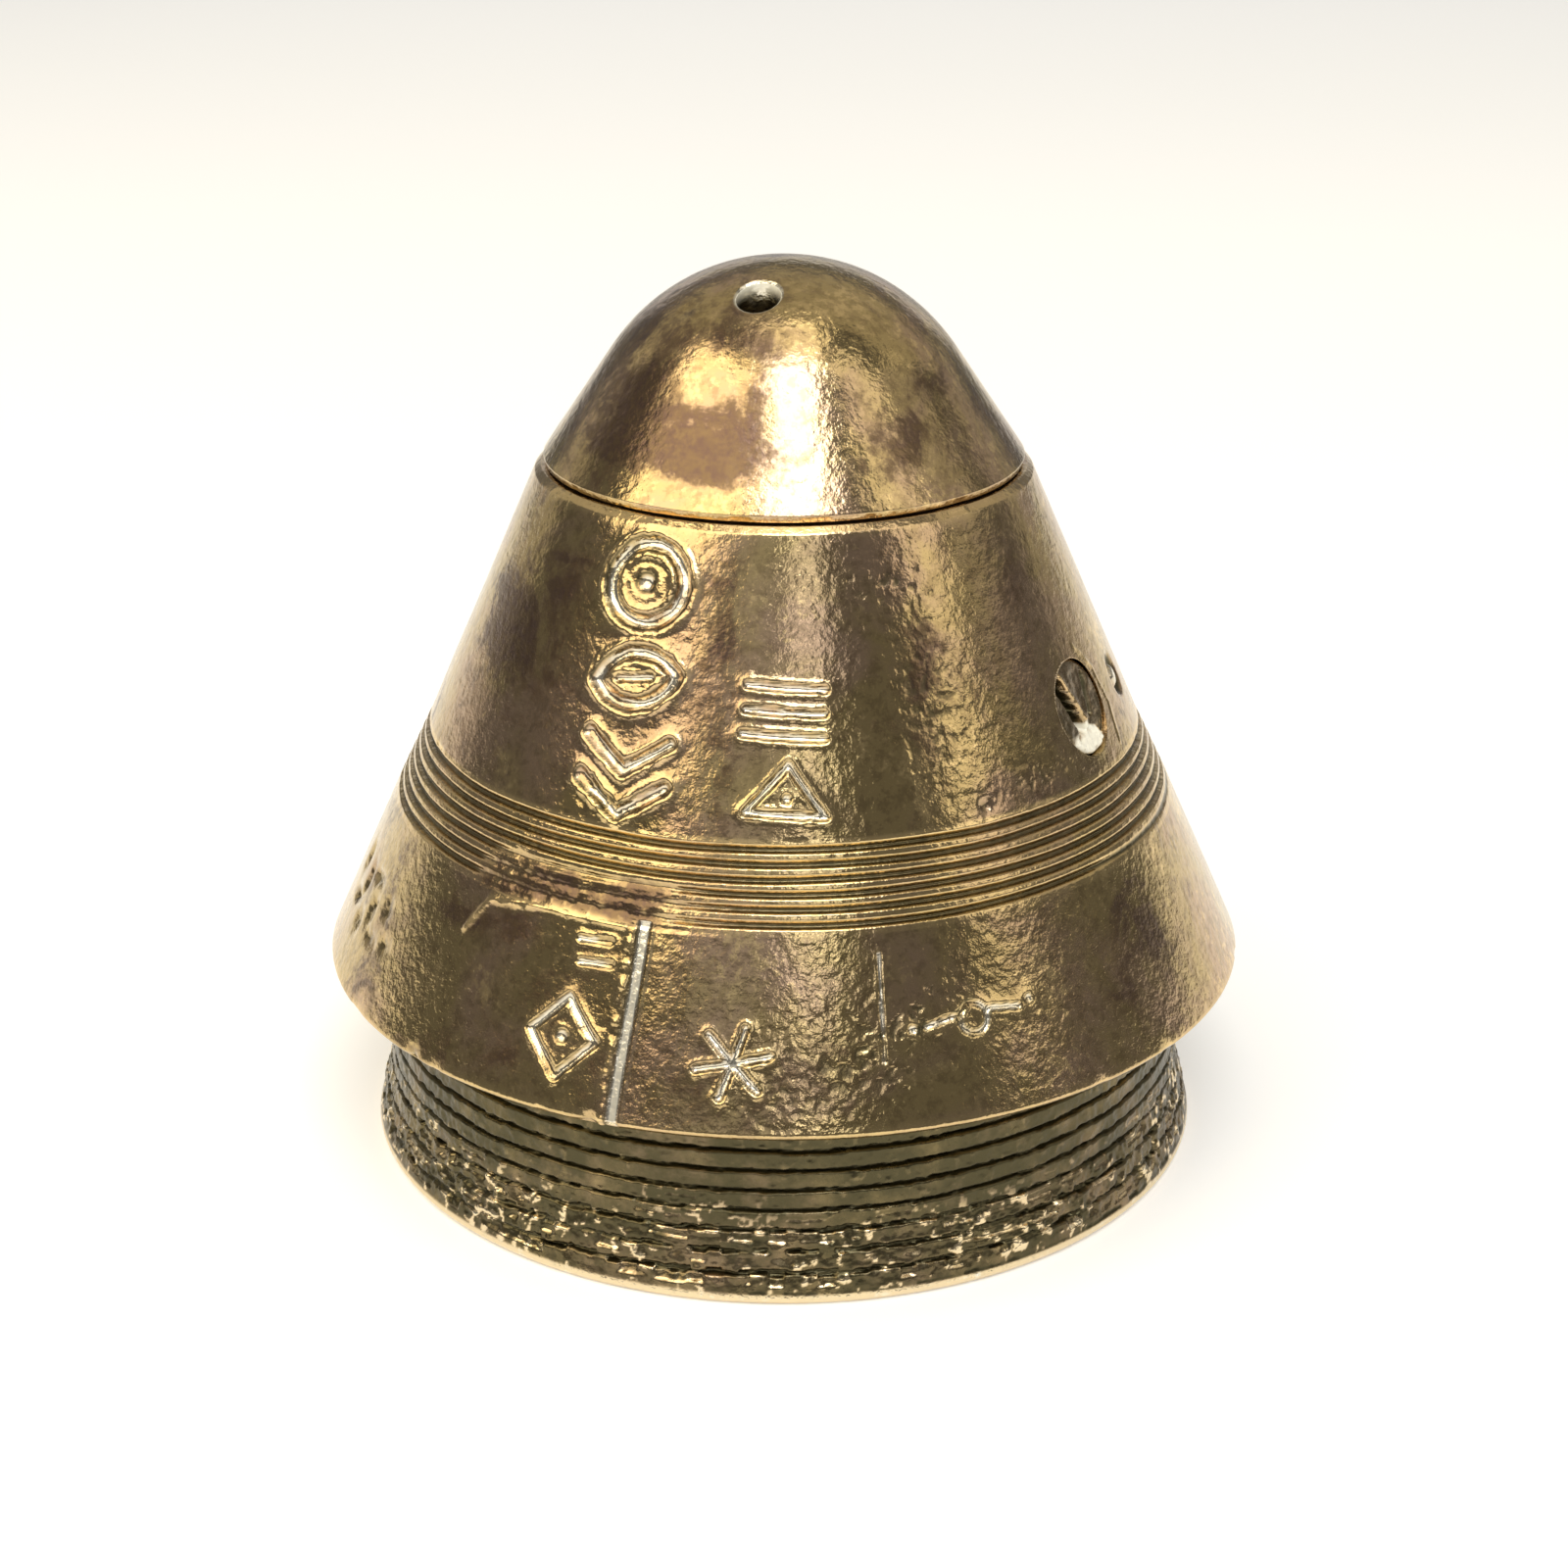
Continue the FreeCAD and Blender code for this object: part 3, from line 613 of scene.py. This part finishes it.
def cylinder(radius, low, high, sides=96):
    """A cylinder between two points in mm, to cut with. It darkens the walls and the end of the
    hole it cuts, as grime and painted shade.
    """
    low, high = Vector(low), Vector(high)
    bpy.ops.mesh.primitive_cylinder_add(
        vertices=sides, radius=radius * MM, depth=(high - low).length * MM,
        location=(low + high) / 2 * MM, rotation=(high - low).to_track_quat("Z", "Y").to_euler())
    cutter = bpy.context.object
    grime = cutter.data.attributes.new("grime", "FLOAT", "POINT")
    grime.data.foreach_set("value", [0.7] * len(cutter.data.vertices))
    bake_map = cutter.data.uv_layers.active
    bake_map.name = BAKE_MAP
    for corner in bake_map.data:
        corner.uv = corner.uv.x, MAP_TOP + 0.01 + corner.uv.y * (0.98 - MAP_TOP)
    return cutter


def bore(piece, *cutters):
    """Cuts the cutters out of a piece and deletes them."""
    for cutter in cutters:
        cut = piece.modifiers.new("cut", "BOOLEAN")
        cut.object, cut.operation, cut.solver = cutter, "DIFFERENCE", "MANIFOLD"
        bpy.context.view_layer.objects.active = piece
        bpy.ops.object.modifier_apply(modifier=cut.name)
        bpy.data.objects.remove(cutter)


def outward(bearing, radius, height):
    """A point in mm from its bearing in degrees, radius and height."""
    turn = math.radians(bearing)
    return radius * math.sin(turn), -radius * math.cos(turn), height


def make_body():
    """The one-piece body: threaded foot, skirt, grooved band and cone, hollow for the lead."""
    shell = Shell([
        (PLUG_BORE_R, 0, 0.15, 1.0), (FOOT_R, 0, 0.2, 0.09), (FOOT_R + 0.3, 0.4, 0.15, 0.085),
        (FOOT_MID_R, FOOT_MID_Z, 0, 0.085), (FOOT_TOP_R, FOOT_TOP, 0, 0.15),
        (NECK_R, FOOT_TOP, 0.1, 0.15),
        (NECK_R, SKIRT_UNDER, 0.1, 0.3), (SKIRT_R - 0.3, SKIRT_UNDER, 0.08, 0.1),
        (SKIRT_R, SKIRT_Z, 0.18, 0.1), (BAND_R, BAND_Z, 0, 0.055), (CONE_R, CONE_Z, 0, 0.11),
        (LIP_R, LIP_Z, 0.35, 0.08), (LIP_R - 0.38, BODY_TOP, 0.12, 0.4),
        (SPIGOT_BORE_R, BODY_TOP, 0.1, 0.12), (SPIGOT_BORE_R, SPIGOT_SOCKET_Z, 0, 0.5),
        (SHAFT_R, SPIGOT_SOCKET_Z, 0, 1.5), (SHAFT_R, CHAMBER_Z, 0, 1.5),
        (CHAMBER_R, CHAMBER_Z, 0, 1.5), (CHAMBER_R, PLUG_SOCKET_Z, 0, 0.5),
        (PLUG_BORE_R, PLUG_SOCKET_Z, 0, 0.12),
    ], 1440, closed=True)
    weather(shell, 61, 0.016, 0.005)
    carve_foot(shell)
    carve_band(shell)
    for mark in STRUCK:
        strike(shell, *mark)
    carve_index_line(shell)
    carve_thread(shell, SPIGOT_BORE_R, SPIGOT_LOW, BODY_TOP, CAP_THREAD_DEPTH, faces_out=False)
    carve_thread(shell, PLUG_BORE_R, 0, PLUG_SOCKET_Z, PLUG_THREAD_DEPTH, faces_out=False)
    rub_edge(shell, SKIRT_Z, 0.35, 71, 90)
    rub_edge(shell, BODY_TOP - 0.2, 0.34, 72, 60)
    rub_edge(shell, CONE_Z, 0.15, 73, 60)
    ridge(shell, BURR_LINE, 0.22, 0.10)
    ridge(shell, SCREW_BURR, 0.16, 0.06)
    for gouge in GOUGES:
        dent(shell, *gouge, rough=0.10)
    for nick in NICKS:
        dent(shell, *nick)
    stake_mark(shell, STAKE_BEARING, STAKE_Z)
    for stain in BODY_STAINS:
        shell.stained += stain[-1] * patch(shell, *stain[:-1])
    for pitted in BODY_PITS:
        pit(shell, *pitted)
    body = shell.mesh("body_shell")
    bore(body, cylinder(SCREW_HOLE_R, outward(SCREW_BEARING, SCREW_IN - 1, SCREW_Z),
                        outward(SCREW_BEARING, SKIRT_R, SCREW_Z)))
    return body


def whiten_rims(cap):
    """Makes the upper rims of the line holes a dull white, which fades down their walls: painted
    light falling into the holes.
    """
    places = np.empty(3 * len(cap.data.vertices))
    cap.data.vertices.foreach_get("co", places)
    x, y, z = places.reshape(-1, 3).T / MM
    off_wall = np.abs(np.hypot(x, np.abs(y) - LINE_HOLE_Y) - LINE_HOLE_R)
    pale = np.empty(len(x))
    layer = cap.data.attributes["pale"].data
    layer.foreach_get("value", pale)
    pale[(off_wall < 0.02) & (z > CAVITY_TOP + 1)] = CHALKY
    layer.foreach_set("value", pale)


def make_cap():
    """The domed nose cap with its hollow spigot and the two line holes."""
    centre = BOB_TOP - DOME_R
    dome = [(DOME_R * math.cos(a), centre + DOME_R * math.sin(a), 0, 1)
            for a in np.linspace(CAP_SLOPE, math.pi / 2, 110)]
    shell = Shell([
        (0, CAVITY_TOP, 0, 0.5), (CAVITY_R, CAVITY_TOP, 0.3, 0.5), (CAVITY_R, SPIGOT_LOW, 0.2, 0.3),
        (SPIGOT_R, SPIGOT_LOW, 0.2, 0.12), (SPIGOT_R, CAP_LOW, 0, 0.3),
        (WASHER_R, CAP_LOW, 0, 0.06), (WASHER_R, CAP_RIM, 0, 0.05),
        (CAP_R - 0.12, CAP_RIM, 0.06, 0.05), (CAP_R, CAP_LOW + 0.1, 0.1, 0.09),
    ] + dome, 1080, closed=False)
    weather(shell, 81, 0.014, 0.005)
    carve_thread(shell, SPIGOT_R, SPIGOT_LOW, CAP_LOW, CAP_THREAD_DEPTH, faces_out=True)
    rub_edge(shell, CAP_RIM + 0.1, 0.2, 91, 70)
    dent(shell, -36, 50.6, 0.5, 0.3, 0.08)
    for stain in CAP_STAINS:
        shell.stained += stain[-1] * patch(shell, *stain[:-1])
    for side in (-1, 1):
        reach = np.hypot(shell.place[..., 0], shell.place[..., 1] - side * LINE_HOLE_Y)
        mouth = np.clip((LINE_MOUTH_R - reach) / (LINE_MOUTH_R - LINE_HOLE_R), 0, 1) * shell.outer
        shell.lift -= LINE_MOUTH_DEPTH * mouth
        # The mouths are painted pale, as a painted highlight round the holes.
        shell.pale += step(mouth, 0, 0.5)
    cap = shell.mesh("cap_shell")
    bore(cap, *[cylinder(LINE_HOLE_R, (0, side * LINE_HOLE_Y, CAVITY_TOP - 2),
                         (0, side * LINE_HOLE_Y, BOB_TOP + 2)) for side in (-1, 1)])
    whiten_rims(cap)
    return cap


def make_plug():
    """The threaded base plug with its two spanner holes."""
    shell = Shell([
        (0, PLUG_LOW, 0, 0.8), (PLUG_R - 0.4, PLUG_LOW, 0.05, 0.1),
        (PLUG_R, PLUG_LOW + 0.4, 0.05, 0.08), (PLUG_R, PLUG_HIGH, 0.1, 0.8), (0, PLUG_HIGH, 0, 1),
    ], 512, closed=False)
    carve_thread(shell, PLUG_R, PLUG_LOW, PLUG_HIGH, PLUG_THREAD_DEPTH, faces_out=True)
    plug = shell.mesh("plug_disc")
    bore(plug, *[cylinder(KEY_HOLE_R, (side * KEY_HOLE_X, 0, -1),
                          (side * KEY_HOLE_X, 0, PLUG_LOW + KEY_HOLE_DEPTH)) for side in (-1, 1)])
    return plug


def make_screw():
    """The locking screw sunk in the cone's side, its slot mashed over and staked with lead."""
    shell = Shell([
        (0, SCREW_IN, 0, 0.5), (POINT_R, SCREW_IN, 0.1, 0.3), (POINT_R, SCREW_IN + 1, 0, 0.3),
        (SCREW_R, SCREW_IN + 1, 0.2, 0.5), (SCREW_R, SCREW_OUT, 0.15, 0.05), (0, SCREW_OUT, 0, 1),
    ], 320, closed=False)
    rows = shell.normals[:, 1] > 0.3
    x, y = shell.place[rows][..., 0], shell.place[rows][..., 1]
    lumps, fine = cloud(shell.place[rows], 0.9, 101), cloud(shell.place[rows], 0.3, 105)
    inner = 1 - step(np.hypot(x, y), SCREW_R - 0.3, SCREW_R)
    slot = 1 - step(line_distance(x, y, (-1.8, 2.1), (-0.5, -1.0)) + 0.08 * fine, 0.15, 0.5)
    notch = 1 - step(line_distance(x, y, (1.5, 1.3), (1.0, -0.6)), 0.08, 0.3)
    crest = bell(line_distance(x, y, (-1.1, 1.9), (0.1, -0.6)), 0, 0.22)
    mashed = step(-y - 0.45 * np.abs(x) + 0.45 * lumps, 0.55, 1.05)
    shell.lift[rows] += inner * (0.06 * lumps - 0.7 * slot - 0.35 * notch + 0.22 * crest)
    shell.lift[rows] += inner * mashed * (0.08 + 0.22 * lumps + 0.05 * fine)
    shell.bare[rows] += 0.7 * crest
    shell.pale[rows] += 2 * mashed * step(lumps, -0.7, 0.0)
    # The face is darkened, most in the slot and the notch, as grime and painted shade in the
    # recess.
    shell.grime[rows] += (0.55 + 0.5 * slot + 0.4 * notch) * (1 - mashed) * (1 - 0.8 * crest)
    cone_fall = (CONE_R - LIP_R) / (LIP_Z - CONE_Z)
    shell.z -= step(shell.z, SCREW_OUT - 2, SCREW_OUT) * cone_fall * shell.place[..., 1]
    screw = shell.mesh("screw_staked")
    turn = math.radians(SCREW_BEARING)
    screw.data.transform(Matrix((
        (math.cos(turn), 0, math.sin(turn), 0),
        (math.sin(turn), 0, -math.cos(turn), 0),
        (0, 1, 0, SCREW_Z * MM),
        (0, 0, 0, 1))))
    return screw


# ---- Materials ---------------------------------------------------------------------------------

class Surface:
    """One material, and short ways to wire its nodes. Sizes of patterns are in mm."""

    def __init__(self, name, **uniform):
        self.material = bpy.data.materials.new(name)
        self.material.use_nodes = True
        self.tree = self.material.node_tree
        self.shader = self.tree.nodes["Principled BSDF"]
        for key, value in uniform.items():
            self.shader.inputs[key.replace("_", " ")].default_value = value
        self.place = self.node("ShaderNodeTexCoord").outputs["Object"]

    def node(self, kind, inputs=(), **settings):
        """A node with settings, and with values or links on its numbered or named inputs."""
        node = self.tree.nodes.new(kind)
        for key, value in settings.items():
            setattr(node, key, value)
        for key, value in dict(inputs).items():
            if isinstance(value, bpy.types.NodeSocket):
                self.tree.links.new(value, node.inputs[key])
            else:
                node.inputs[key].default_value = value
        return node

    def noise(self, size, detail=3, roughness=0.55, distortion=0.0):
        """Cloudy noise in space, from 0 to 1."""
        inputs = {"Vector": self.place, "Scale": 1 / (size * MM), "Detail": detail,
                  "Roughness": roughness, "Distortion": distortion}
        return self.node("ShaderNodeTexNoise", inputs).outputs[0]

    def rings(self, size):
        """Noise that changes only with height, like a lathe tool's marks."""
        height = self.node("ShaderNodeSeparateXYZ", {0: self.place}).outputs[2]
        inputs = {"W": height, "Scale": 1 / (size * MM), "Detail": 2}
        return self.node("ShaderNodeTexNoise", inputs, noise_dimensions="1D").outputs[0]

    def attribute(self, name):
        """A value stored on the mesh's points."""
        return self.node("ShaderNodeAttribute", attribute_name=name).outputs["Fac"]

    def math(self, operation, first, second=0.0, clamp=False):
        """Arithmetic on two values."""
        return self.node("ShaderNodeMath", {0: first, 1: second}, operation=operation,
                         use_clamp=clamp).outputs[0]

    def between(self, value, low, high, start=0.0, end=1.0):
        """start where value is below low, end above high, smooth between."""
        inputs = {"Value": value, "From Min": low, "From Max": high, "To Min": start, "To Max": end}
        return self.node("ShaderNodeMapRange", inputs, interpolation_type="SMOOTHSTEP").outputs[0]

    def mix(self, amount, first, second):
        """A colour between two colours."""
        inputs = {0: amount, 6: first, 7: second}
        return self.node("ShaderNodeMix", inputs, data_type="RGBA").outputs[2]

    def bumps(self, *layers):
        """Bump from several (height, strength, depth in mm) layers."""
        normal = None
        for height, strength, depth in layers:
            inputs = {"Height": height, "Strength": strength, "Distance": depth * MM}
            if normal:
                inputs["Normal"] = normal
            normal = self.node("ShaderNodeBump", inputs).outputs[0]
        self.use("Normal", normal)

    def use(self, socket, value):
        """Links a value to the shader."""
        self.tree.links.new(value, self.shader.inputs[socket])


GOLD = (0.82, 0.61, 0.30, 1)
PALE = (0.92, 0.89, 0.76, 1)
OLIVE = (0.50, 0.375, 0.175, 1)
BLUSH = (0.48, 0.335, 0.215, 1)
BROWN = (0.20, 0.135, 0.070, 1)
PURPLE = (0.098, 0.058, 0.052, 1)
UMBER = (0.130, 0.084, 0.050, 1)
DIRT_AND_SHADE = (0.085, 0.074, 0.040, 1)

# The direction in which the object gets less stained.
CLEAN_SIDE = (0.96, 0.28, 0)


def brass(name, stains, gold, shift, chalk=1.1):
    """Old tarnished brass. stains and gold say how much of each there is, shift moves the pattern.
    Where it is pale it is silvery, and where it is paler than chalk it turns to a dull white."""
    s = Surface(name)
    side = s.node("ShaderNodeVectorMath", {0: s.place, 1: CLEAN_SIDE},
                  operation="DOT_PRODUCT").outputs["Value"]
    left = s.between(side, -0.016 + shift, 0.002 + shift, 1, 0)
    s.place = s.node("ShaderNodeVectorMath", {0: s.place, 1: (shift * 10, shift * 10, 0)},
                     operation="ADD").outputs[0]
    bare, grime, pale = s.attribute("bare"), s.attribute("grime"), s.attribute("pale")
    stained = s.attribute("stained")
    clouds, blots = s.noise(8, 5, 0.62, 0.5), s.noise(4.5, 6, 0.6, 0.9)
    speckle, fine = s.noise(0.5, 4, 0.65), s.noise(0.2, 2)
    grainy = s.math("ADD", blots, s.math("MULTIPLY", speckle, 0.45))
    edge = s.math("SUBTRACT", 0.87 - stains, s.math("MULTIPLY", left, 0.06))
    edge = s.math("SUBTRACT", edge, s.math("MULTIPLY", stained, 0.24))
    stain = s.between(s.math("SUBTRACT", grainy, edge), 0, 0.20)
    shine = s.between(s.math("ADD", s.noise(6, 5, 0.6, 0.6), s.math("MULTIPLY", speckle, 0.9)),
                      1.16 - gold, 1.34 - gold)
    colour = s.mix(s.between(clouds, 0.40, 0.62), OLIVE, BLUSH)
    colour = s.mix(s.math("MULTIPLY", shine, 0.7), colour, GOLD)
    tarnish = s.mix(s.between(speckle, 0.35, 0.65), PURPLE, UMBER)
    colour = s.mix(s.math("MULTIPLY", stain, 0.92), colour, tarnish)
    grain = s.between(s.noise(0.8, 5, 0.72), 0.46, 0.62)
    colour = s.mix(s.math("MULTIPLY", grain, 0.42), colour, BROWN)
    # Rubbed metal and painted highlights turn gold.
    colour = s.mix(s.math("MULTIPLY", bare, 0.7, True), colour, GOLD)
    # Pale places, painted highlights among them, turn pale.
    colour = s.mix(s.math("MULTIPLY", pale, 0.65, True), colour, PALE)
    # Grime and painted shade turn dark.
    dirt_and_shade = s.between(s.math("ADD", grime, s.math("MULTIPLY", speckle, 0.3)), 0.25, 1.0)
    colour = s.mix(dirt_and_shade, colour, DIRT_AND_SHADE)
    s.use("Base Color", colour)
    chalky = s.between(pale, chalk, chalk + 0.5)
    s.use("Metallic", s.math("SUBTRACT", s.between(stain, 0, 1, 1, 0.9), chalky, True))
    rough = s.between(clouds, 0.35, 0.65, 0.10, 0.17)
    rough = s.math("ADD", rough, s.math("MULTIPLY", stain, 0.10))
    rough = s.math("ADD", rough, s.math("MULTIPLY", dirt_and_shade, 0.17))
    s.use("Roughness", rough)
    s.bumps((s.noise(0.55, 3, 0.55), 0.95, 0.045), (speckle, 0.6, 0.018), (fine, 0.6, 0.014),
            (s.rings(0.14), 0.15, 0.01))
    return s.material


def plain(name, colour, dark, roughness, size, depth, **uniform):
    """A mottled material in two shades, with bumps as large as its mottling."""
    s = Surface(name, Roughness=roughness, **uniform)
    mottle = s.noise(size, 4, 0.6)
    s.use("Base Color", s.mix(s.between(mottle, 0.35, 0.65), dark, colour))
    s.bumps((mottle, 0.6, depth))
    return s.material


# ---- Building it -------------------------------------------------------------------------------

def place(piece, material, body, slot, *nodes):
    """Gives a new piece its material and body, and hides the CAD nodes it stands for. The argument
    slot is not used.
    """
    piece.data.materials.clear()
    piece.data.materials.append(material)
    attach(piece, body)
    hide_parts(*nodes)


def paint(node, material):
    """Gives a CAD node that is shown as it is a better material."""
    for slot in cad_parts[node].material_slots:
        slot.material = material


brass_body = brass("brass_body", 0.06, 0.14, 0)
brass_cap = brass("brass_cap", 0.13, 0.20, 0.003)
brass_plug = brass("brass_plug", 0.08, 0.10, 0.006)
brass_screw = brass("brass_screw", 0.08, 0.10, 0.009, chalk=0.2)
lead = plain("lead", (0.30, 0.31, 0.32, 1), (0.15, 0.155, 0.165, 1), 0.55, 2.5, 0.08, Metallic=0.9)
fibre = plain("fibre", (0.055, 0.035, 0.022, 1), (0.03, 0.02, 0.014, 1), 0.8, 0.8, 0.05)
felt = plain("felt", (0.12, 0.13, 0.11, 1), (0.06, 0.07, 0.055, 1), 0.95, 0.4, 0.12)

place(make_body(), brass_body, "bob", "body_brass", "body")
place(make_screw(), brass_screw, "bob", "screw_brass", "locking_screw")
place(make_cap(), brass_cap, "cap", "cap_brass", "nose_cap")
place(make_plug(), brass_plug, "plug", "plug_brass", "base_plug")
paint("ballast_core", lead)
paint("ballast_pad", felt)
paint("cap_washer", fibre)
paint("plug_washer", fibre)


# ---- Floor, light and camera -------------------------------------------------------------------

def make_floor():
    """A plain pale floor, far wider than the view."""
    bpy.ops.mesh.primitive_plane_add(size=6)
    floor = bpy.context.object
    floor.name = "floor"
    s = Surface("floor_paint", Roughness=0.9)
    s.use("Base Color", s.mix(s.noise(400), (0.86, 0.86, 0.85, 1), (0.88, 0.88, 0.87, 1)))
    s.shader.inputs["Emission Color"].default_value = (1, 1, 0.99, 1)
    s.shader.inputs["Emission Strength"].default_value = FLOOR_GLOW
    floor.data.materials.append(s.material)


def panel(name, turn, rise, wide, tall, radiance, colour=(1, 1, 1), distance=0.7):
    """A soft box, turn degrees right of the camera and rise degrees up, wide by tall degrees."""
    bearing = math.radians(CAMERA_BEARING + turn)
    up = math.radians(rise)
    back = Vector((math.sin(bearing) * math.cos(up), -math.cos(bearing) * math.cos(up),
                   math.sin(up)))
    light = bpy.data.lights.new(name, "AREA")
    light.shape = "RECTANGLE"
    light.size = 2 * distance * math.tan(math.radians(wide) / 2)
    light.size_y = 2 * distance * math.tan(math.radians(tall) / 2)
    light.energy = radiance * math.pi * light.size * light.size_y
    light.color = colour
    lamp = bpy.data.objects.new(name, light)
    bpy.context.scene.collection.objects.link(lamp)
    lamp.location = Vector((0, 0, LIGHTS_AIM)) + back * distance
    lamp.rotation_euler = back.to_track_quat("Z", "Y").to_euler()


def make_world():
    """Dim, even light from all round."""
    world = bpy.data.worlds.new("studio")
    bpy.context.scene.world = world
    world.use_nodes = True
    world.node_tree.nodes["Background"].inputs["Color"].default_value = (1, 0.98, 0.95, 1)
    world.node_tree.nodes["Background"].inputs["Strength"].default_value = WORLD_GLOW


def make_camera():
    """A 64.5 mm lens, 158 mm from the axis and 84 mm up, looking 22 degrees down."""
    camera = bpy.data.cameras.new("camera")
    camera.lens, camera.sensor_width = CAMERA_LENS, SENSOR
    eye = bpy.data.objects.new("camera", camera)
    bpy.context.scene.collection.objects.link(eye)
    turn = math.radians(CAMERA_BEARING)
    eye.location = (CAMERA_REACH * math.sin(turn), -CAMERA_REACH * math.cos(turn), CAMERA_HEIGHT)
    eye.rotation_euler = (math.radians(90 - CAMERA_DIP), 0, turn)
    camera.clip_start = 0.01
    bpy.context.scene.camera = eye


make_floor()
panel("window", 8, 57, 26, 30, 5.2)
panel("window_foot", 9, 29, 13, 16, 1.15)
panel("window_sill", 6, 22.5, 9, 4, 2.0)
panel("overhead", 8, 84, 34, 26, 1.7, (1, 0.92, 0.74))
panel("left_panel", -58, 45, 50, 42, 2.6, (1, 0.87, 0.64))
panel("left_fill", -15, 30, 22, 26, 0.3)
panel("right_panel", 64, 40, 19, 48, 1.25, (1, 0.93, 0.80))
panel("right_fill", 92, 30, 24, 30, 0.35, (1, 0.93, 0.80))
panel("right_rim", 128, 12, 20, 26, 0.25, (1, 0.92, 0.75))
panel("left_rim", -128, 12, 20, 26, 0.35, (1, 0.92, 0.75))
panel("back_panel", 178, 12, 50, 16, 0.5)
panel("back_sky", 178, 56, 100, 46, 0.32, (1, 0.9, 0.7))
make_world()
make_camera()
bpy.context.scene.view_settings.view_transform = "Standard"
